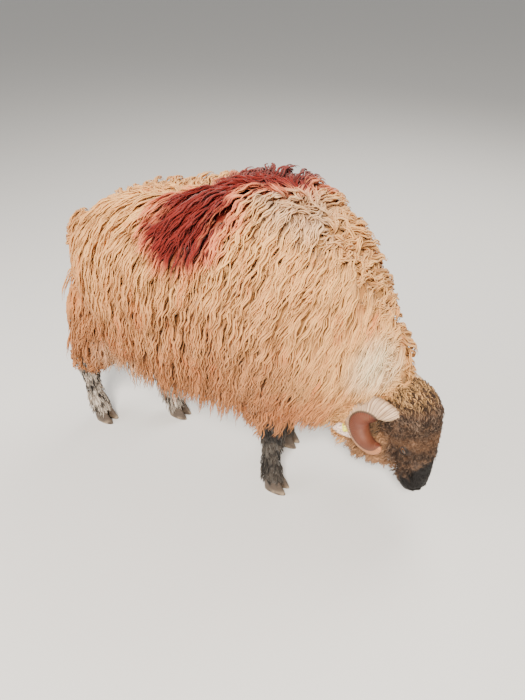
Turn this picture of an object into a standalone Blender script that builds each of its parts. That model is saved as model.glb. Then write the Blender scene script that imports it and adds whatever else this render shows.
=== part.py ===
"""A grazing long-wool ram, life size, as a still model.

It stands on four cloven hooves with its head down. +X is forward, +Y is its own left and +Z is up.
It is drawn round its right fore foot, joined whole, parted into named pieces by thin cuts, and at
the end moved so that the origin is under the middle of its box.
"""

import math
import random

import bmesh
import bpy
from mathutils import Matrix, Vector
from mathutils.bvhtree import BVHTree

GAP = 0.0003
SEED = 11

# The trunk and neck without their locks: where each section meets the top line and the under line
# (x, z), its half width, and how far it lies to the left. The first is the rump, the last sits
# inside the back of the head.
TRUNK = (
    ((-0.586, 0.680), (-0.586, 0.480), 0.070, 0.000),
    ((-0.536, 0.738), (-0.533, 0.440), 0.122, 0.000),
    ((-0.455, 0.783), (-0.455, 0.435), 0.172, 0.000),
    ((-0.350, 0.805), (-0.350, 0.440), 0.210, 0.000),
    ((-0.240, 0.826), (-0.240, 0.430), 0.226, 0.004),
    ((-0.130, 0.862), (-0.120, 0.410), 0.228, 0.010),
    ((-0.035, 0.866), (-0.020, 0.385), 0.218, 0.014),
    ((0.045, 0.832), (0.052, 0.365), 0.198, 0.020),
    ((0.118, 0.760), (0.106, 0.345), 0.166, 0.036),
    ((0.180, 0.668), (0.150, 0.280), 0.122, 0.056),
    ((0.234, 0.576), (0.190, 0.208), 0.084, 0.068),
    ((0.278, 0.494), (0.235, 0.165), 0.058, 0.067),
    ((0.308, 0.425), (0.280, 0.148), 0.046, 0.060),
)
RUMP_END = (-0.616, 0.590)
TRUNK_SIDES = 12
TRUNK_SQUARENESS = 2.3

# Locks of the fleece: length, width and thickness, how far the tips stand off the core, and how
# deep the roots are sunk in it.
LOCK_LENGTH = 0.205
LOCK_WIDTH = 0.126
LOCK_THICKNESS = 0.034
LOCK_RISE = 0.036
LOCK_SINK = 0.018
LOCK_STEPS = 3
WAVE = 0.007

# Clumps of curly wool: half length, half width and how much of the half height stays sunk.
CLUMP_LENGTH = 0.038
CLUMP_WIDTH = 0.031
CLUMP_SINK = 0.35

# Head: where the poll is, how far the face turns to the ram's left, how far the nose leans forward
# and how far the muzzle swings to the right.
POLL = (0.309, 0.045, 0.412)
HEAD_TURN = math.radians(-25)
HEAD_LEAN = math.radians(13)
HEAD_ROLL = math.radians(0)
# Sections of the head from the poll down to the lips: height, middle, half depth, half width.
HEAD = (
    (-0.012, 0.000, 0.048, 0.046),
    (-0.045, 0.002, 0.070, 0.057),
    (-0.085, 0.000, 0.081, 0.062),
    (-0.125, -0.004, 0.082, 0.060),
    (-0.165, -0.002, 0.073, 0.051),
    (-0.205, 0.006, 0.058, 0.041),
    (-0.245, 0.012, 0.046, 0.035),
    (-0.285, 0.012, 0.039, 0.035),
    (-0.310, 0.006, 0.030, 0.029),
)
HEAD_TOP = (0.000, 0.010)
HEAD_END = (0.000, -0.322)
HEAD_SIDES = 14
HEAD_SQUARENESS = 2.4

EYE_RADIUS = 0.0135
EYE_PLACE = (0.022, 0.0455, -0.155)
LID_RADIUS = 0.0032
LID_LENGTH = 0.0165
LID_HEIGHT = 0.0105
NOSTRIL_PLACE = (0.041, 0.0135, -0.297)
NOSTRIL_SIZE = (0.008, 0.0040, 0.0105)
MOUTH_FRONT = -0.312
MOUTH_CORNER = -0.270
MOUTH_TURN = math.radians(115)
MOUTH_DEPTH = 0.0022
LIP_RADIUS = 0.0046

# Horn: a coil seen from the side, round a point of the head (x, z), and its drift outwards. The
# left one sits a little lower and further back.
HORN_CENTRE = (-0.040, -0.085)
HORN_CENTRE_LEFT = (-0.052, -0.104)
HORN_COIL_RADIUS = 0.056
HORN_START = math.radians(30)
HORN_END = math.radians(332)
HORN_ROOT_Y = 0.056
HORN_TIP_Y = 0.122
HORN_BASE_RADIUS = 0.0265
HORN_TIP_RADIUS = 0.0070
HORN_RIDGES = 10
HORN_RIDGE_DEPTH = 0.07
HORN_SIDES = 8

# Ear: where it starts, where it points and where its back faces (forwards, outwards, up).
EAR_LENGTH = 0.125
EAR_HALF_WIDTH = 0.027
EAR_THICKNESS = 0.0040
EAR_ROOT = (-0.062, 0.044, -0.128)
EAR_SWEEP = (-0.72, 0.69, 0.00)
EAR_BACK = (0.50, 0.55, 0.65)
TAG_SIZE = (0.030, 0.024, 0.0020)
TAG_PLACE = 0.66

# Legs: points (x, y, z) down the middle of each limb with its half depth and half width there.
FORE_LEG = (
    ((-0.030, -0.100, 0.450), 0.060, 0.040),
    ((-0.015, -0.100, 0.360), 0.046, 0.036),
    ((0.000, -0.092, 0.255), 0.031, 0.028),
    ((0.000, -0.090, 0.215), 0.031, 0.028),
    ((-0.004, -0.090, 0.140), 0.025, 0.023),
    ((-0.004, -0.090, 0.085), 0.030, 0.028),
    ((0.006, -0.090, 0.045), 0.027, 0.026),
)
HIND_LEG = (
    ((-0.535, -0.100, 0.520), 0.085, 0.055),
    ((-0.536, -0.106, 0.420), 0.068, 0.050),
    ((-0.590, -0.102, 0.330), 0.050, 0.038),
    ((-0.646, -0.096, 0.265), 0.035, 0.028),
    ((-0.648, -0.093, 0.215), 0.029, 0.025),
    ((-0.650, -0.091, 0.140), 0.024, 0.022),
    ((-0.650, -0.090, 0.085), 0.029, 0.027),
    ((-0.638, -0.090, 0.045), 0.027, 0.026),
)
FAR_HIND_LEG = (
    ((-0.530, 0.100, 0.520), 0.085, 0.055),
    ((-0.505, 0.102, 0.420), 0.078, 0.050),
    ((-0.528, 0.080, 0.325), 0.052, 0.038),
    ((-0.545, 0.065, 0.260), 0.035, 0.028),
    ((-0.522, 0.058, 0.215), 0.029, 0.025),
    ((-0.475, 0.048, 0.140), 0.025, 0.022),
    ((-0.444, 0.042, 0.085), 0.030, 0.027),
    ((-0.426, 0.040, 0.045), 0.027, 0.026),
)
FAR_FORE_SHIFT = -0.045
LEG_SIDES = 10

HOOF_HEIGHT = 0.045
HOOF_LENGTH = 0.068
HOOF_WIDTH = 0.052
CLAW_GAP = 0.004

# Where the whole is parted: a point of each cut and its direction, in the plane of symmetry.
NECK_CUT = ((0.115, 0.600), math.radians(-10))
HEAD_CUT = ((0.264, 0.420), math.radians(14))
# Boxes round each leg and the tail that take what lies in them: lowest and highest corner.
FORE_BOX = ((-0.090, -0.175, -0.1), (0.075, -0.020, 0.345))
HIND_BOX = ((-0.900, -0.400, -0.1), (-0.455, -GAP / 2, 0.430))
FAR_HIND_REACH = -0.360
TAIL_BOX = ((-0.900, -0.034, 0.300), (-0.636, 0.034, 0.720))

WOOL = (0.72, 0.50, 0.33)
DARK_HAIR = (0.07, 0.05, 0.04)
LEG_HAIR = (0.16, 0.13, 0.11)
HORN_COLOUR = (0.45, 0.34, 0.25)
EAR_SKIN = (0.68, 0.50, 0.43)
HOOF_COLOUR = (0.10, 0.08, 0.06)
EYE_COLOUR = (0.03, 0.02, 0.01)
TAG_COLOUR = (0.80, 0.66, 0.06)


def make_collection(name):
    """An empty collection of the scene."""
    collection = bpy.data.collections.new(name)
    bpy.context.scene.collection.children.link(collection)
    return collection


def clear_scene():
    """Remove whatever the scene holds."""
    for thing in list(bpy.data.objects):
        bpy.data.objects.remove(thing)


clear_scene()
RAM = make_collection("ram")
PIECES = make_collection("pieces")
CUTTERS = make_collection("cutters")
RANDOM = random.Random(SEED)


def make_material(name, colour, roughness):
    """A plain finish for one kind of surface."""
    material = bpy.data.materials.new(name)
    material.use_nodes = True
    shader = material.node_tree.nodes["Principled BSDF"]
    shader.inputs["Base Color"].default_value = (*colour, 1.0)
    shader.inputs["Roughness"].default_value = roughness
    material.diffuse_color = (*colour, 1.0)
    return material


def make_object(name, mesh, collection):
    """An object of this collection from a bmesh, in triangles that face outwards."""
    bmesh.ops.triangulate(mesh, faces=mesh.faces)
    mesh.normal_update()
    bmesh.ops.recalc_face_normals(mesh, faces=mesh.faces)
    data = bpy.data.meshes.new(name)
    mesh.to_mesh(data)
    mesh.free()
    thing = bpy.data.objects.new(name, data)
    collection.objects.link(thing)
    return thing


def loft(name, rings, collection):
    """A closed skin over rings of points. An end ring of one point is a tip."""
    mesh = bmesh.new()
    rows = [[mesh.verts.new(point) for point in ring] for ring in rings]
    for one, two in zip(rows, rows[1:]):
        sides = max(len(one), len(two))
        for i in range(sides):
            j = (i + 1) % sides
            if len(one) == 1:
                mesh.faces.new((one[0], two[j], two[i]))
            elif len(two) == 1:
                mesh.faces.new((one[i], one[j], two[0]))
            else:
                mesh.faces.new((one[i], one[j], two[j], two[i]))
    for end in (rows[0], rows[-1]):
        if len(end) > 2:
            mesh.faces.new(end)
    return make_object(name, mesh, collection)


def oval(centre, across, along, half_across, half_along, sides, squareness=2.0):
    """A ring of points round a centre, from the one furthest along."""
    points = []
    for k in range(sides):
        angle = 2 * math.pi * k / sides
        sine = math.copysign(abs(math.sin(angle)) ** (2 / squareness), math.sin(angle))
        cosine = math.copysign(abs(math.cos(angle)) ** (2 / squareness), math.cos(angle))
        points.append(centre + across * (half_across * sine) + along * (half_along * cosine))
    return points


def tube(name, path, radii, sides, collection, flat=1.0):
    """A round bar along a path, its radius given at each point."""
    rings = []
    for i, point in enumerate(path):
        ahead = path[min(i + 1, len(path) - 1)] - path[max(i - 1, 0)]
        ahead.normalize()
        across = ahead.cross(Vector((0.0, 0.0, 1.0)))
        if across.length < 0.1:
            across = ahead.cross(Vector((1.0, 0.0, 0.0)))
        across.normalize()
        up = across.cross(ahead)
        rings.append(oval(point, across, up, radii[i], radii[i] * flat, sides))
    return loft(name, rings, collection)


def surface_of(thing):
    """A search tree of an object's faces, for finding places on it."""
    mesh = bmesh.new()
    mesh.from_mesh(thing.data)
    mesh.transform(thing.matrix_world)
    tree = BVHTree.FromBMesh(mesh)
    mesh.free()
    return tree


def apply_modifiers(thing):
    """Bake an object's modifiers into its mesh."""
    bpy.context.view_layer.update()
    graph = bpy.context.evaluated_depsgraph_get()
    data = bpy.data.meshes.new_from_object(thing.evaluated_get(graph))
    thing.modifiers.clear()
    thing.data = data


def combine(thing, collection, operation):
    """Join or cut an object with all that a collection holds, and empty the collection."""
    boolean = thing.modifiers.new("combine", "BOOLEAN")
    boolean.operation = operation
    boolean.operand_type = "COLLECTION"
    boolean.collection = collection
    boolean.solver = "MANIFOLD"
    apply_modifiers(thing)
    for used in list(collection.objects):
        bpy.data.objects.remove(used)


def keep_largest(thing):
    """Keep only the largest closed surface of an object."""
    mesh = bmesh.new()
    mesh.from_mesh(thing.data)
    bmesh.ops.triangulate(mesh, faces=mesh.faces)
    bmesh.ops.remove_doubles(mesh, verts=mesh.verts, dist=0.000002)
    unseen = set(mesh.faces)
    islands = []
    while unseen:
        start = unseen.pop()
        island = [start]
        for face in island:
            for edge in face.edges:
                for other in edge.link_faces:
                    if other in unseen:
                        unseen.discard(other)
                        island.append(other)
        islands.append(island)
    volumes = [abs(island_volume(island)) for island in islands]
    best = volumes.index(max(volumes))
    scraps = [face for i, island in enumerate(islands) if i != best for face in island]
    bmesh.ops.delete(mesh, geom=scraps, context="FACES")
    mesh.to_mesh(thing.data)
    mesh.free()


def island_volume(faces):
    """The volume that these triangles enclose."""
    volume = 0.0
    for face in faces:
        one, two, three = (vert.co for vert in face.verts)
        volume += one.dot(two.cross(three)) / 6
    return volume


def trunk_section(place):
    """The middle, up direction, half height and half width of the trunk at a place along it."""
    first = min(int(place), len(TRUNK) - 2)
    share = place - first
    (top_a, low_a, wide_a, left_a), (top_b, low_b, wide_b, left_b) = TRUNK[first : first + 2]
    top = Vector((top_a[0], left_a, top_a[1])).lerp(Vector((top_b[0], left_b, top_b[1])), share)
    low = Vector((low_a[0], left_a, low_a[1])).lerp(Vector((low_b[0], left_b, low_b[1])), share)
    up = (top - low).normalized()
    return (top + low) / 2, up, (top - low).length / 2, wide_a + (wide_b - wide_a) * share


def trunk_point(place, angle):
    """A point of the trunk's skin, its angle measured from the top towards the ram's left."""
    centre, up, half_height, half_width = trunk_section(place)
    left = Vector((0.0, 1.0, 0.0))
    sine = math.copysign(abs(math.sin(angle)) ** (2 / TRUNK_SQUARENESS), math.sin(angle))
    cosine = math.copysign(abs(math.cos(angle)) ** (2 / TRUNK_SQUARENESS), math.cos(angle))
    return centre + left * (half_width * sine) + up * (half_height * cosine)


def make_trunk():
    """The trunk and neck as one smooth core under the locks."""
    rings = [[Vector((RUMP_END[0], 0.0, RUMP_END[1]))]]
    for place in range(len(TRUNK)):
        step = 2 * math.pi / TRUNK_SIDES
        rings.append([trunk_point(place, k * step) for k in range(TRUNK_SIDES)])
    return loft("trunk_core", rings, PIECES)


def make_lock(skin, root, lie, size=1.0, rise=LOCK_RISE, length=LOCK_LENGTH, width=LOCK_WIDTH):
    """One flat, tapered lock that grows at a root on the skin and bends down along its lie."""
    place, normal, _, _ = skin.find_nearest(root)
    length *= size * RANDOM.uniform(0.85, 1.15)
    width *= size * RANDOM.uniform(0.85, 1.15)
    rise *= RANDOM.uniform(0.8, 1.15)
    turn = RANDOM.uniform(-0.18, 0.18)
    phase = RANDOM.uniform(0, 2 * math.pi)
    heading = Matrix.Rotation(turn, 3, normal) @ lie
    heading = (heading - normal * heading.dot(normal)).normalized()
    point = place.copy()
    path = [(place - normal * LOCK_SINK, heading, normal)]
    for step in range(1, LOCK_STEPS + 1):
        share = step / LOCK_STEPS
        point = point + heading * (length / LOCK_STEPS)
        under, normal, _, _ = skin.find_nearest(point)
        height = rise * (0.15 + 0.85 * share)
        if (point - under).dot(normal) < height or normal.z > 0:
            point = under + normal * height
        heading = Matrix.Rotation(turn, 3, normal) @ lie
        heading = heading - normal * min(0.0, heading.dot(normal))
        heading = (heading + Vector((0.0, 0.0, -0.25))).normalized()
        path.append((point.copy(), heading, normal))
    rings = []
    shares = (0.80, 1.0, 0.72, 0.0)
    for step, (point, heading, normal) in enumerate(path):
        side = heading.cross(normal).normalized()
        out = side.cross(heading).normalized()
        if out.dot(normal) < 0:
            out.negate()
        point = point + side * (WAVE * math.sin(phase + step * 2.2))
        if shares[step] == 0:
            rings.append([point])
            continue
        half_width = width * shares[step] / 2
        half_thick = LOCK_THICKNESS * size * (0.7 + 0.3 * shares[step]) / 2
        rings.append([point + side * half_width, point + out * half_thick, point - side * half_width])
    return loft("lock", rings, PIECES)


def comb(side, back, outward):
    """The lie of the coat on one side: down, with so much backwards and so much outwards."""
    return Vector((-back, side * outward, -1.0)).normalized()


# Rows of locks down each flank: the angle of the roots from the top line.
FLANK_ROWS = (-9, 30, 64, 98)
FLANK_FIRST = 0.75
FLANK_LAST = 7.4
FLANK_COUNT = 6


def cover_flanks(skin):
    """Locks in overlapping rows from the spine down each flank."""
    for row, degrees in enumerate(FLANK_ROWS):
        for side in (-1, 1):
            for k in range(FLANK_COUNT):
                share = (k + 0.5 * (row % 2)) / (FLANK_COUNT - 0.5)
                place = FLANK_FIRST + (FLANK_LAST - FLANK_FIRST) * share
                angle = math.radians(degrees + RANDOM.uniform(-4, 4))
                root = trunk_point(place, side * angle)
                back = 0.10 + 0.30 * max(0.0, share - 0.55) / 0.45
                fringe = row == len(FLANK_ROWS) - 1 and share < 0.7
                size = 0.75 if fringe else 1.0
                make_lock(skin, root, comb(side, back, 0.9 if row < 2 else 0.1), size)


# Rows of locks down each side of the neck, which lie back as well as down: the angle of the
# roots from the top line, the last place along the neck, and how many.
NECK_FIRST = 7.9
NECK_ROWS = ((-10, 10.8, 4), (34, 10.0, 3), (72, 9.2, 3), (112, 9.3, 3))


def cover_neck(skin):
    """Locks of the neck, combed down and towards the chest."""
    for row, (degrees, last, count) in enumerate(NECK_ROWS):
        for side in (-1, 1):
            for k in range(count):
                share = (k + 0.5 * (row % 2)) / (count - 0.5)
                place = NECK_FIRST + (last - NECK_FIRST) * share
                root = trunk_point(place, side * math.radians(degrees + RANDOM.uniform(-5, 5)))
                size = 0.95 - 0.35 * share
                lie = comb(side, 0.42, 0.7 if row == 0 else 0.1)
                make_lock(skin, root, lie, size, LOCK_RISE * (1.0 - 0.45 * share))


# Clumps of the cheek and throat, on the last of the neck: places along it and turns from the top.
CHEEK_PLACES = (10.8, 11.6)
CHEEK_TURNS = (130, 166)
CHEEK_CLUMP = 1.4
THROAT_PLACES = (8.4,)


def cover_throat(skin):
    """Short woolly clumps behind the ears and under the jaw, and locks that hang at the throat."""
    for level, place in enumerate(CHEEK_PLACES):
        for side in (-1, 1):
            for turn in CHEEK_TURNS:
                root = trunk_point(place, side * math.radians(turn + 14 * (level % 2)))
                make_clump(skin, root, CHEEK_CLUMP)
    for place in THROAT_PLACES:
        for side in (-1, 1):
            root = trunk_point(place, side * math.radians(158))
            make_lock(skin, root, comb(side, 0.2, 0.1), 0.6)


# Locks on the rear of the rump: how far to each side and how high.
REAR_SIDES = (0.065, 0.120)
REAR_HEIGHTS = (0.705, 0.600)
REAR_LOCK = 0.85
REAR_RISE = 0.6


def cover_rump(skin):
    """Locks that hang down behind, on both sides of the tail."""
    for height in REAR_HEIGHTS:
        for across in REAR_SIDES:
            for side in (-1, 1):
                start = Vector((-1.0, side * across, height))
                root, _, _, _ = skin.ray_cast(start, Vector((1.0, 0.0, 0.0)))
                if root:
                    make_lock(skin, root, comb(side, -0.05, 0.1), REAR_LOCK, LOCK_RISE * REAR_RISE)


def make_clump(skin, root, size=1.0):
    """One rounded clump of curly wool, half sunk in the skin."""
    place, normal, _, _ = skin.find_nearest(root)
    width = CLUMP_WIDTH * size * RANDOM.uniform(0.85, 1.15)
    length = CLUMP_LENGTH * size * RANDOM.uniform(0.9, 1.1)
    mesh = bmesh.new()
    bmesh.ops.create_icosphere(mesh, subdivisions=1, radius=1.0)
    turn = Matrix.Rotation(RANDOM.uniform(0, math.pi), 4, "Z")
    grow = Matrix.Diagonal((width, length, width, 1.0))
    face = normal.to_track_quat("Z", "Y").to_matrix().to_4x4()
    spot = Matrix.Translation(place + normal * width * (1 - 2 * CLUMP_SINK))
    mesh.transform(spot @ face @ turn @ grow)
    return make_object("clump", mesh, PIECES)


def make_leg(name, points, collection):
    """A limb as one skin over level rings down its middle points."""
    rings = []
    for (x, y, z), depth, width in points:
        centre = Vector((x, y, z))
        rings.append(oval(centre, Vector((0, 1, 0)), Vector((1, 0, 0)), width, depth, LEG_SIDES))
    return loft(name, rings, collection)


def mirrored(points, shift):
    """The same limb on the other side, moved forward."""
    return tuple(((x + shift, -y, z), depth, width) for (x, y, z), depth, width in points)


LEGS = {
    "fore_right": FORE_LEG,
    "fore_left": mirrored(FORE_LEG, FAR_FORE_SHIFT),
    "hind_right": HIND_LEG,
    "hind_left": FAR_HIND_LEG,
}

# Clumps of the thigh: heights, and how far round the limb each one sits from the outside.
THIGH_HEIGHTS = (0.430, 0.360)
THIGH_TURNS = (-100, -45, 10, 65, 120)
THIGH_CLUMP = 1.0
THIGH_SHRINK = 0.15


def cover_thigh(points, skin, side):
    """Curly clumps round a thigh, from the flank down to the hock."""
    for level, height in enumerate(THIGH_HEIGHTS):
        centre = leg_middle(points, height)
        for k, turn in enumerate(THIGH_TURNS):
            angle = math.radians(turn + 17 * (level % 2))
            out = Vector((-math.sin(angle), side * math.cos(angle), 0.0))
            start = centre + out * 0.4
            root, _, _, _ = skin.ray_cast(start, -out)
            if root:
                make_clump(skin, root, THIGH_CLUMP - THIGH_SHRINK * level)


def leg_middle(points, height):
    """The middle of a limb at a height."""
    for (upper, _, _), (lower, _, _) in zip(points, points[1:]):
        if lower[2] <= height <= upper[2]:
            share = (upper[2] - height) / (upper[2] - lower[2])
            return Vector(upper).lerp(Vector(lower), share)
    return Vector(points[0][0])


# The tail hangs down the rump, with its own locks on both sides.
TAIL = (
    ((-0.603, 0.000, 0.685), 0.030),
    ((-0.646, 0.000, 0.655), 0.028),
    ((-0.668, 0.000, 0.580), 0.024),
    ((-0.671, 0.000, 0.500), 0.018),
    ((-0.665, 0.000, 0.430), 0.010),
)
TAIL_LOCKS = (0.640, 0.575, 0.510)


def make_tail():
    """The tail with its locks."""
    path = [Vector(point) for point, _ in TAIL]
    core = tube("tail_core", path, [radius for _, radius in TAIL], 8, PIECES)
    skin = surface_of(core)
    for height in TAIL_LOCKS:
        for side in (-1, 1):
            start = Vector((-1.0, side * 0.010, height))
            root, _, _, _ = skin.ray_cast(start, Vector((1.0, 0.0, 0.0)))
            if root:
                lie = Vector((-0.12, side * 0.10, -1.0)).normalized()
                make_small_lock(skin, root, lie, 0.115, 0.040)


FEATHER_COUNT = 7
FEATHER_HEIGHT = 0.125
FEATHER_LENGTH = 0.085
FEATHER_WIDTH = 0.036


def cover_pastern(points, skin):
    """Long hair that hangs from the shank over the hoof."""
    centre = leg_middle(points, FEATHER_HEIGHT)
    for k in range(FEATHER_COUNT):
        angle = 2 * math.pi * (k + 0.3) / FEATHER_COUNT
        out = Vector((math.cos(angle), math.sin(angle), 0.0))
        root, _, _, _ = skin.ray_cast(centre + out * 0.2, -out)
        if root:
            lie = (out * 0.35 + Vector((0.0, 0.0, -1.0))).normalized()
            make_small_lock(skin, root, lie, FEATHER_LENGTH, FEATHER_WIDTH)


def make_small_lock(skin, root, lie, length, width):
    """A short tapered lock that stands a little off the limb it grows on."""
    place, normal, _, _ = skin.find_nearest(root)
    side = lie.cross(normal).normalized()
    out = side.cross(lie).normalized()
    if out.dot(normal) < 0:
        out.negate()
    path = [place - normal * 0.008, place + lie * length * 0.45 + normal * 0.004]
    path.append(place + lie * length)
    rings = []
    for point, share in zip(path, (0.8, 1.0, 0.0)):
        if share == 0:
            rings.append([point])
            continue
        rings.append(oval(point, side, out, width * share / 2, width * share / 4, 4))
    return loft("small_lock", rings, PIECES)


def make_hoof(name, toe_x, y, grow, collection):
    """Two claws side by side, joined at the heel, flat on the ground."""
    rings_of = ((0.0, 0.50, 0.50), (0.012, 0.47, 0.49), (HOOF_HEIGHT - GAP, 0.34, 0.42))
    claws = []
    for side in (-1, 1):
        rings = []
        for height, depth, width in rings_of:
            depth = depth * HOOF_LENGTH + grow
            width = width * HOOF_WIDTH / 2 - CLAW_GAP / 4 + grow
            lean = 0.012 * (1 - height / HOOF_HEIGHT)
            middle = Vector((toe_x + lean, y + side * (HOOF_WIDTH / 4 + CLAW_GAP / 4), height))
            if grow:
                middle.z += grow if height > 0.02 else -grow
            rings.append(oval(middle, Vector((0, 1, 0)), Vector((1, 0, 0)), width, depth, 10, 2.4))
        claws.append(loft(name, rings, collection))
    heel = bmesh.new()
    bmesh.ops.create_cube(heel, size=1.0)
    size = (HOOF_LENGTH * 0.45 + 2 * grow, HOOF_WIDTH * 0.4, HOOF_HEIGHT * 0.55 + 2 * grow)
    spot = Vector((toe_x - 0.006, y, HOOF_HEIGHT - GAP - HOOF_HEIGHT * 0.275))
    heel.transform(Matrix.Translation(spot) @ Matrix.Diagonal((*size, 1.0)))
    claws.append(make_object(name, heel, collection))
    return claws


def join_hoof(name, points):
    """The hoof under a limb, as one piece."""
    x, y, _ = points[-1][0]
    first = make_hoof(name, x, y, 0.0, PIECES)[0]
    PIECES.objects.unlink(first)
    RAM.objects.link(first)
    combine(first, PIECES, "UNION")
    keep_largest(first)
    return first


def head_matrix():
    """Places the head: its own +Z goes up through the poll, its +X out of the forehead."""
    lean = Matrix.Rotation(-HEAD_LEAN, 4, "Y")
    roll = Matrix.Rotation(HEAD_ROLL, 4, "X")
    turn = Matrix.Rotation(HEAD_TURN, 4, "Z")
    return Matrix.Translation(Vector(POLL)) @ turn @ roll @ lean


HEAD_MATRIX = head_matrix()


def on_head(x, y, z):
    """A place of the head, as a point of the ram."""
    return HEAD_MATRIX @ Vector((x, y, z))


def make_head_core():
    """The skull with its skin, from the poll to the lips."""
    front = Vector((1.0, 0.0, 0.0))
    left = Vector((0.0, 1.0, 0.0))
    rings = [[Vector((HEAD_TOP[0], 0.0, HEAD_TOP[1]))]]
    for height, middle, depth, width in HEAD:
        centre = Vector((middle, 0.0, height))
        rings.append(oval(centre, left, front, width, depth, HEAD_SIDES, HEAD_SQUARENESS))
    rings.append([Vector((HEAD_END[0], 0.0, HEAD_END[1]))])
    core = loft("head_core", rings, PIECES)
    core.data.transform(HEAD_MATRIX)
    return core


def make_eye_lids(side):
    """A rim of both lids round the eyeball, slanted as the eye is."""
    centre = Vector((EYE_PLACE[0], side * EYE_PLACE[1], EYE_PLACE[2]))
    out = Vector((0.42, side * 0.90, 0.05)).normalized()
    along = Vector((-0.38, 0.0, 0.92))
    along = (along - out * along.dot(out)).normalized()
    across = out.cross(along)
    rings = []
    count = 10
    for k in range(count):
        angle = 2 * math.pi * k / count
        flat = along * (LID_LENGTH * math.cos(angle)) + across * (LID_HEIGHT * math.sin(angle))
        lift = math.sqrt(max(0.0, (EYE_RADIUS + 0.001) ** 2 - flat.length_squared * 0.7))
        spot = centre + flat + out * (lift - 0.001)
        rings.append(oval(spot, flat.normalized(), out, LID_RADIUS, LID_RADIUS, 4))
    return ring_loft("lids", rings, PIECES)


def ring_loft(name, rings, collection):
    """A closed skin over rings that come back to the first, like a tyre."""
    mesh = bmesh.new()
    rows = [[mesh.verts.new(point) for point in ring] for ring in rings]
    sides = len(rings[0])
    for one, two in zip(rows, rows[1:] + rows[:1]):
        for i in range(sides):
            j = (i + 1) % sides
            mesh.faces.new((one[i], one[j], two[j], two[i]))
    mesh.transform(HEAD_MATRIX)
    return make_object(name, mesh, collection)


def mouth_path(skin, lift):
    """The line of the mouth on the muzzle, from corner to corner, raised by so much."""
    path = []
    for k in range(11):
        turn = MOUTH_TURN * (k / 5 - 1)
        share = abs(k / 5 - 1) ** 1.5
        height = MOUTH_FRONT + (MOUTH_CORNER - MOUTH_FRONT) * share + lift
        out = Vector((math.cos(turn), math.sin(turn), 0.0))
        start = HEAD_MATRIX @ (Vector((0.005, 0.0, height)) + out * 0.2)
        target = HEAD_MATRIX @ Vector((0.005, 0.0, height))
        place, _, _, _ = skin.ray_cast(start, (target - start).normalized())
        path.append(place if place else target)
    return path


def shape_muzzle(skin):
    """Both lips as soft rolls along the mouth."""
    for lift in (-LIP_RADIUS * 0.9, LIP_RADIUS * 1.1):
        path = mouth_path(skin, lift)
        radii = [LIP_RADIUS * (0.55 if k in (0, len(path) - 1) else 1.0) for k in range(len(path))]
        tube("lip", path, radii, 5, PIECES)


def cut_muzzle(skin):
    """The groove of the mouth and the two nostrils, as cutters."""
    path = mouth_path(skin, 0.0)
    tube("mouth", path, [MOUTH_DEPTH] * len(path), 5, CUTTERS)
    for side in (-1, 1):
        mesh = bmesh.new()
        bmesh.ops.create_uvsphere(mesh, u_segments=8, v_segments=6, radius=1.0)
        size = Matrix.Diagonal((*NOSTRIL_SIZE, 1.0))
        slant = Matrix.Rotation(side * math.radians(-35), 4, "X")
        spot = Matrix.Translation((NOSTRIL_PLACE[0], side * NOSTRIL_PLACE[1], NOSTRIL_PLACE[2]))
        mesh.transform(HEAD_MATRIX @ spot @ slant @ size)
        make_object("nostril", mesh, CUTTERS)


# Curly clumps of the head: height down the head, size, and turns from its front. The first rows
# cover the poll and forehead, the last ones the jaw.
HEAD_CLUMPS = (
    (-0.004, 0.96, (-118, -25, 25, 75, 130, 230)),
    (-0.052, 0.85, (-27, 27)),
    (-0.100, 0.78, (-26, 26)),
    (-0.160, 1.15, (-140, 140)),
    (-0.200, 1.15, (-120, 120)),
    (-0.238, 0.90, (-145, 145)),
)


def cover_head(skin):
    """Clumps set close over the poll and the forehead, and under the jaw."""
    for height, size, turns in HEAD_CLUMPS:
        for turn in turns:
            angle = math.radians(turn)
            out = Vector((math.cos(angle), math.sin(angle), 0.0))
            start = on_head(*(out * 0.3 + Vector((0.0, 0.0, height))))
            middle = on_head(0.0, 0.0, min(height, -0.03))
            root, _, _, _ = skin.ray_cast(start, (middle - start).normalized())
            if root:
                make_clump(skin, root, size)


def make_horn(name, side, grow, collection):
    """A ringed horn that coils back, down and forward beside the cheek."""
    count = HORN_RIDGES * 2
    middle = HORN_CENTRE if side < 0 else HORN_CENTRE_LEFT
    rings = []
    for k in range(count + 1):
        share = k / count
        angle = HORN_START + (HORN_END - HORN_START) * share
        out = Vector((math.cos(angle), 0.0, math.sin(angle)))
        drift = HORN_ROOT_Y + (HORN_TIP_Y - HORN_ROOT_Y) * share**0.5
        centre = Vector((middle[0], side * drift, middle[1])) + out * HORN_COIL_RADIUS
        radius = HORN_BASE_RADIUS + (HORN_TIP_RADIUS - HORN_BASE_RADIUS) * share**3
        if 0 < k < count - 1:
            radius *= 1 + HORN_RIDGE_DEPTH * (1 if k % 2 else -1) * (1 - share)
        across = Vector((0.0, 1.0, 0.0))
        rings.append(oval(centre, across, out, radius * 0.9 + grow, radius + grow, HORN_SIDES))
    horn = loft(name, rings, collection)
    horn.data.transform(HEAD_MATRIX)
    return horn


def ear_axes(side):
    """The ear's own directions: along it, across it and out of its back."""
    along = Vector((EAR_SWEEP[0], side * EAR_SWEEP[1], EAR_SWEEP[2])).normalized()
    back = Vector((EAR_BACK[0], side * EAR_BACK[1], EAR_BACK[2]))
    back = (back - along * back.dot(along)).normalized()
    return along, back.cross(along) * side, back


EAR_SHAPE = ((0.0, 0.40), (0.14, 0.55), (0.34, 0.92), (0.58, 1.0), (0.80, 0.70), (0.97, 0.16))
EAR_CUP = 0.45


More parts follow.
